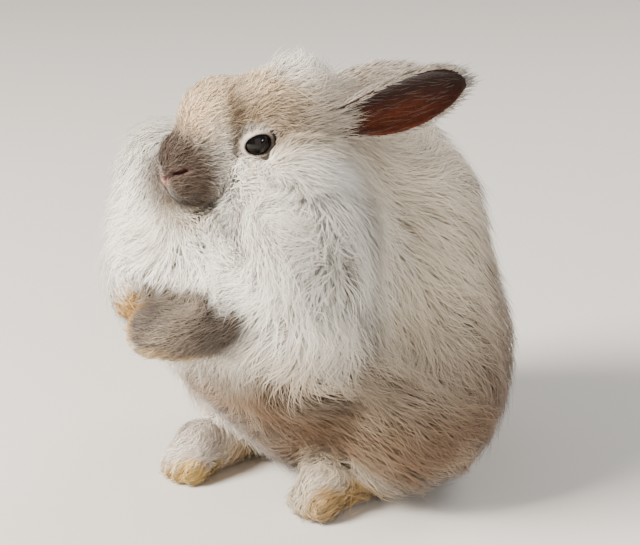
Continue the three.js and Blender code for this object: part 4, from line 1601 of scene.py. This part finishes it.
@dataclass
class Eyes:
    """Both eyeballs, each a ball with a slightly raised cornea."""

    place: Place
    finish: Finish

    def make(self) -> None:
        """Adds each eye where its solid is."""
        for side in Side:
            centre = HEAD.world(np.array([[side.value * EYE.at[0], EYE.at[1], EYE.at[2]]]))
            at = self.place.metres(centre)[0]
            radius = EYE.radius * MM
            clear()
            bpy.ops.mesh.primitive_uv_sphere_add(segments=48, ring_count=32, radius=radius, location=at)
            eye = bpy.context.object
            eye.name = "eyeball_" + side.name.lower()
            settle(eye)
            outward = unit(HEAD.turned(np.array([[float(side.value), -0.1, 0.05]]))[0])
            rel = points_of(eye.data) - at
            rel *= (1 + CORNEA * smooth_step(0.6, 1.0, unit(rel) @ outward))[:, None]
            set_points(eye.data, rel + at)
            bpy.ops.object.shade_smooth()
            unwrap(eye, 0.01)
            eye.data.materials.append(self.finish)
            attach(eye, "root")
            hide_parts("eye_" + side.name.lower())
            log.info("%s: %d faces", eye.name, len(eye.data.polygons))


@dataclass(frozen=True)
class Lamp:
    """A soft square light that faces the model, placed in metres, with its power in watts."""

    name: str
    at: Triple
    size: float
    power: float
    colour: Triple


LAMPS = (
    Lamp("key", (-0.45, -1.15, 1.0), 0.55, 84, (1.0, 0.94, 0.84)),
    Lamp("fill", (1.3, -0.5, 0.5), 1.0, 3.5, (1.0, 0.88, 0.76)),
    Lamp("glint", (1.25, 0.28, 0.46), 0.12, 3, (0.8, 0.9, 1.0)),
    Lamp("rim", (0.2, 1.1, 1.0), 0.8, 12, (1.0, 0.96, 0.9)),
)
LAMPS_FACE = Vector((0, 0, 0.1))
SKY_COLOUR = (0.95, 0.97, 1.0, 1)
SKY_STRENGTH = 0.36


@dataclass
class Studio:
    """A plain pale floor, soft light from the upper left, and the camera."""

    place: Place
    azimuth: float = 45.0
    elevation: float = 20.0
    distance: float = 800.0
    target: Triple = (0.0, 0.0, 99.0)
    lens: float = 100.0

    def floor(self) -> None:
        """The floor, which isn't part of the model."""
        clear()
        bpy.ops.mesh.primitive_plane_add(size=6, location=(0, 0, 0))
        floor = bpy.context.object
        floor.name = "floor"
        material = bpy.data.materials.new("floor")
        material.use_nodes = True
        shader = material.node_tree.nodes["Principled BSDF"]
        shader.inputs["Base Color"].default_value = FLOOR_COLOUR
        shader.inputs["Roughness"].default_value = 0.9
        floor.data.materials.append(material)

    def light(self, spec: Lamp) -> None:
        """Adds a light."""
        data = bpy.data.lights.new(spec.name, "AREA")
        data.size = spec.size
        data.energy = spec.power
        data.color = spec.colour
        lamp = bpy.data.objects.new(spec.name, data)
        lamp.location = spec.at
        lamp.rotation_mode = "QUATERNION"
        lamp.rotation_quaternion = (LAMPS_FACE - Vector(spec.at)).to_track_quat("-Z", "Y")
        bpy.context.collection.objects.link(lamp)

    def camera(self) -> None:
        """The camera at the picture's angle."""
        a, e = math.radians(self.azimuth), math.radians(self.elevation)
        back = np.array([math.sin(a) * math.cos(e), -math.cos(a) * math.cos(e), math.sin(e)])
        data = bpy.data.cameras.new("camera")
        data.lens = self.lens
        data.sensor_width = 36
        data.clip_start = 0.05
        camera = bpy.data.objects.new("camera", data)
        camera.location = self.place.metres(np.array(self.target) + back * self.distance)
        camera.rotation_mode = "QUATERNION"
        camera.rotation_quaternion = Vector(-back).to_track_quat("-Z", "Y")
        bpy.context.collection.objects.link(camera)
        bpy.context.scene.camera = camera

    def make(self) -> None:
        """Sets up floor, lights, sky and camera."""
        self.floor()
        for lamp in LAMPS:
            self.light(lamp)
        world = bpy.data.worlds.new("sky")
        world.use_nodes = True
        background = world.node_tree.nodes["Background"]
        background.inputs["Color"].default_value = SKY_COLOUR
        background.inputs["Strength"].default_value = SKY_STRENGTH
        bpy.context.scene.world = world
        self.camera()


FLESH = (
    "head",
    "ear_left",
    "ear_right",
    "neck",
    "torso",
    "haunch_left",
    "haunch_right",
    "tail",
    "foreleg_left",
    "foreleg_right",
    "hind_foot_left",
    "hind_foot_right",
)
COATS = {
    Cover.WOOL: ("body_wool", "body_wool"),
    Cover.RUFF: ("ruff_wool", "ruff_wool"),
    Cover.TAIL: ("tail_wool", "ruff_wool"),
    Cover.FACE: ("face_fur", "face_fur"),
    Cover.CHEEK: ("cheek_fluff", "face_fur"),
    Cover.CREST: ("crest_fluff", "face_fur"),
    Cover.PAW: ("paw_fur", "paw_fur"),
    Cover.FOOT: ("foot_fur", "foot_fur"),
}


def main() -> None:
    """Builds the model piece by piece and sets up the studio."""
    logging.basicConfig(level=logging.INFO, format="%(message)s")
    place = Place()
    form = Form()
    finishes = Finishes(place)
    Studio(place).make()
    skin = Skin(form, place).make()
    skin.data.materials.clear()
    skin.data.materials.append(finishes.coat(HIDE, True))
    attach(skin, "root")
    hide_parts(*FLESH)
    log.info("skin: %d faces", len(skin.data.polygons))
    Eyes(place, finishes.eye()).make()
    coat = Coat(form, place, Ground.of(skin, place), finishes.coat(STRANDS, False))
    for cover, (name, slot) in COATS.items():
        coat.grow(cover, TUFTS[cover], name, slot)
        if cover in UNDERCOATS:
            coat.grow(cover, UNDERCOATS[cover], name + "_under", slot)
    coat.grow_ears()


if __name__ == "__main__":
    main()
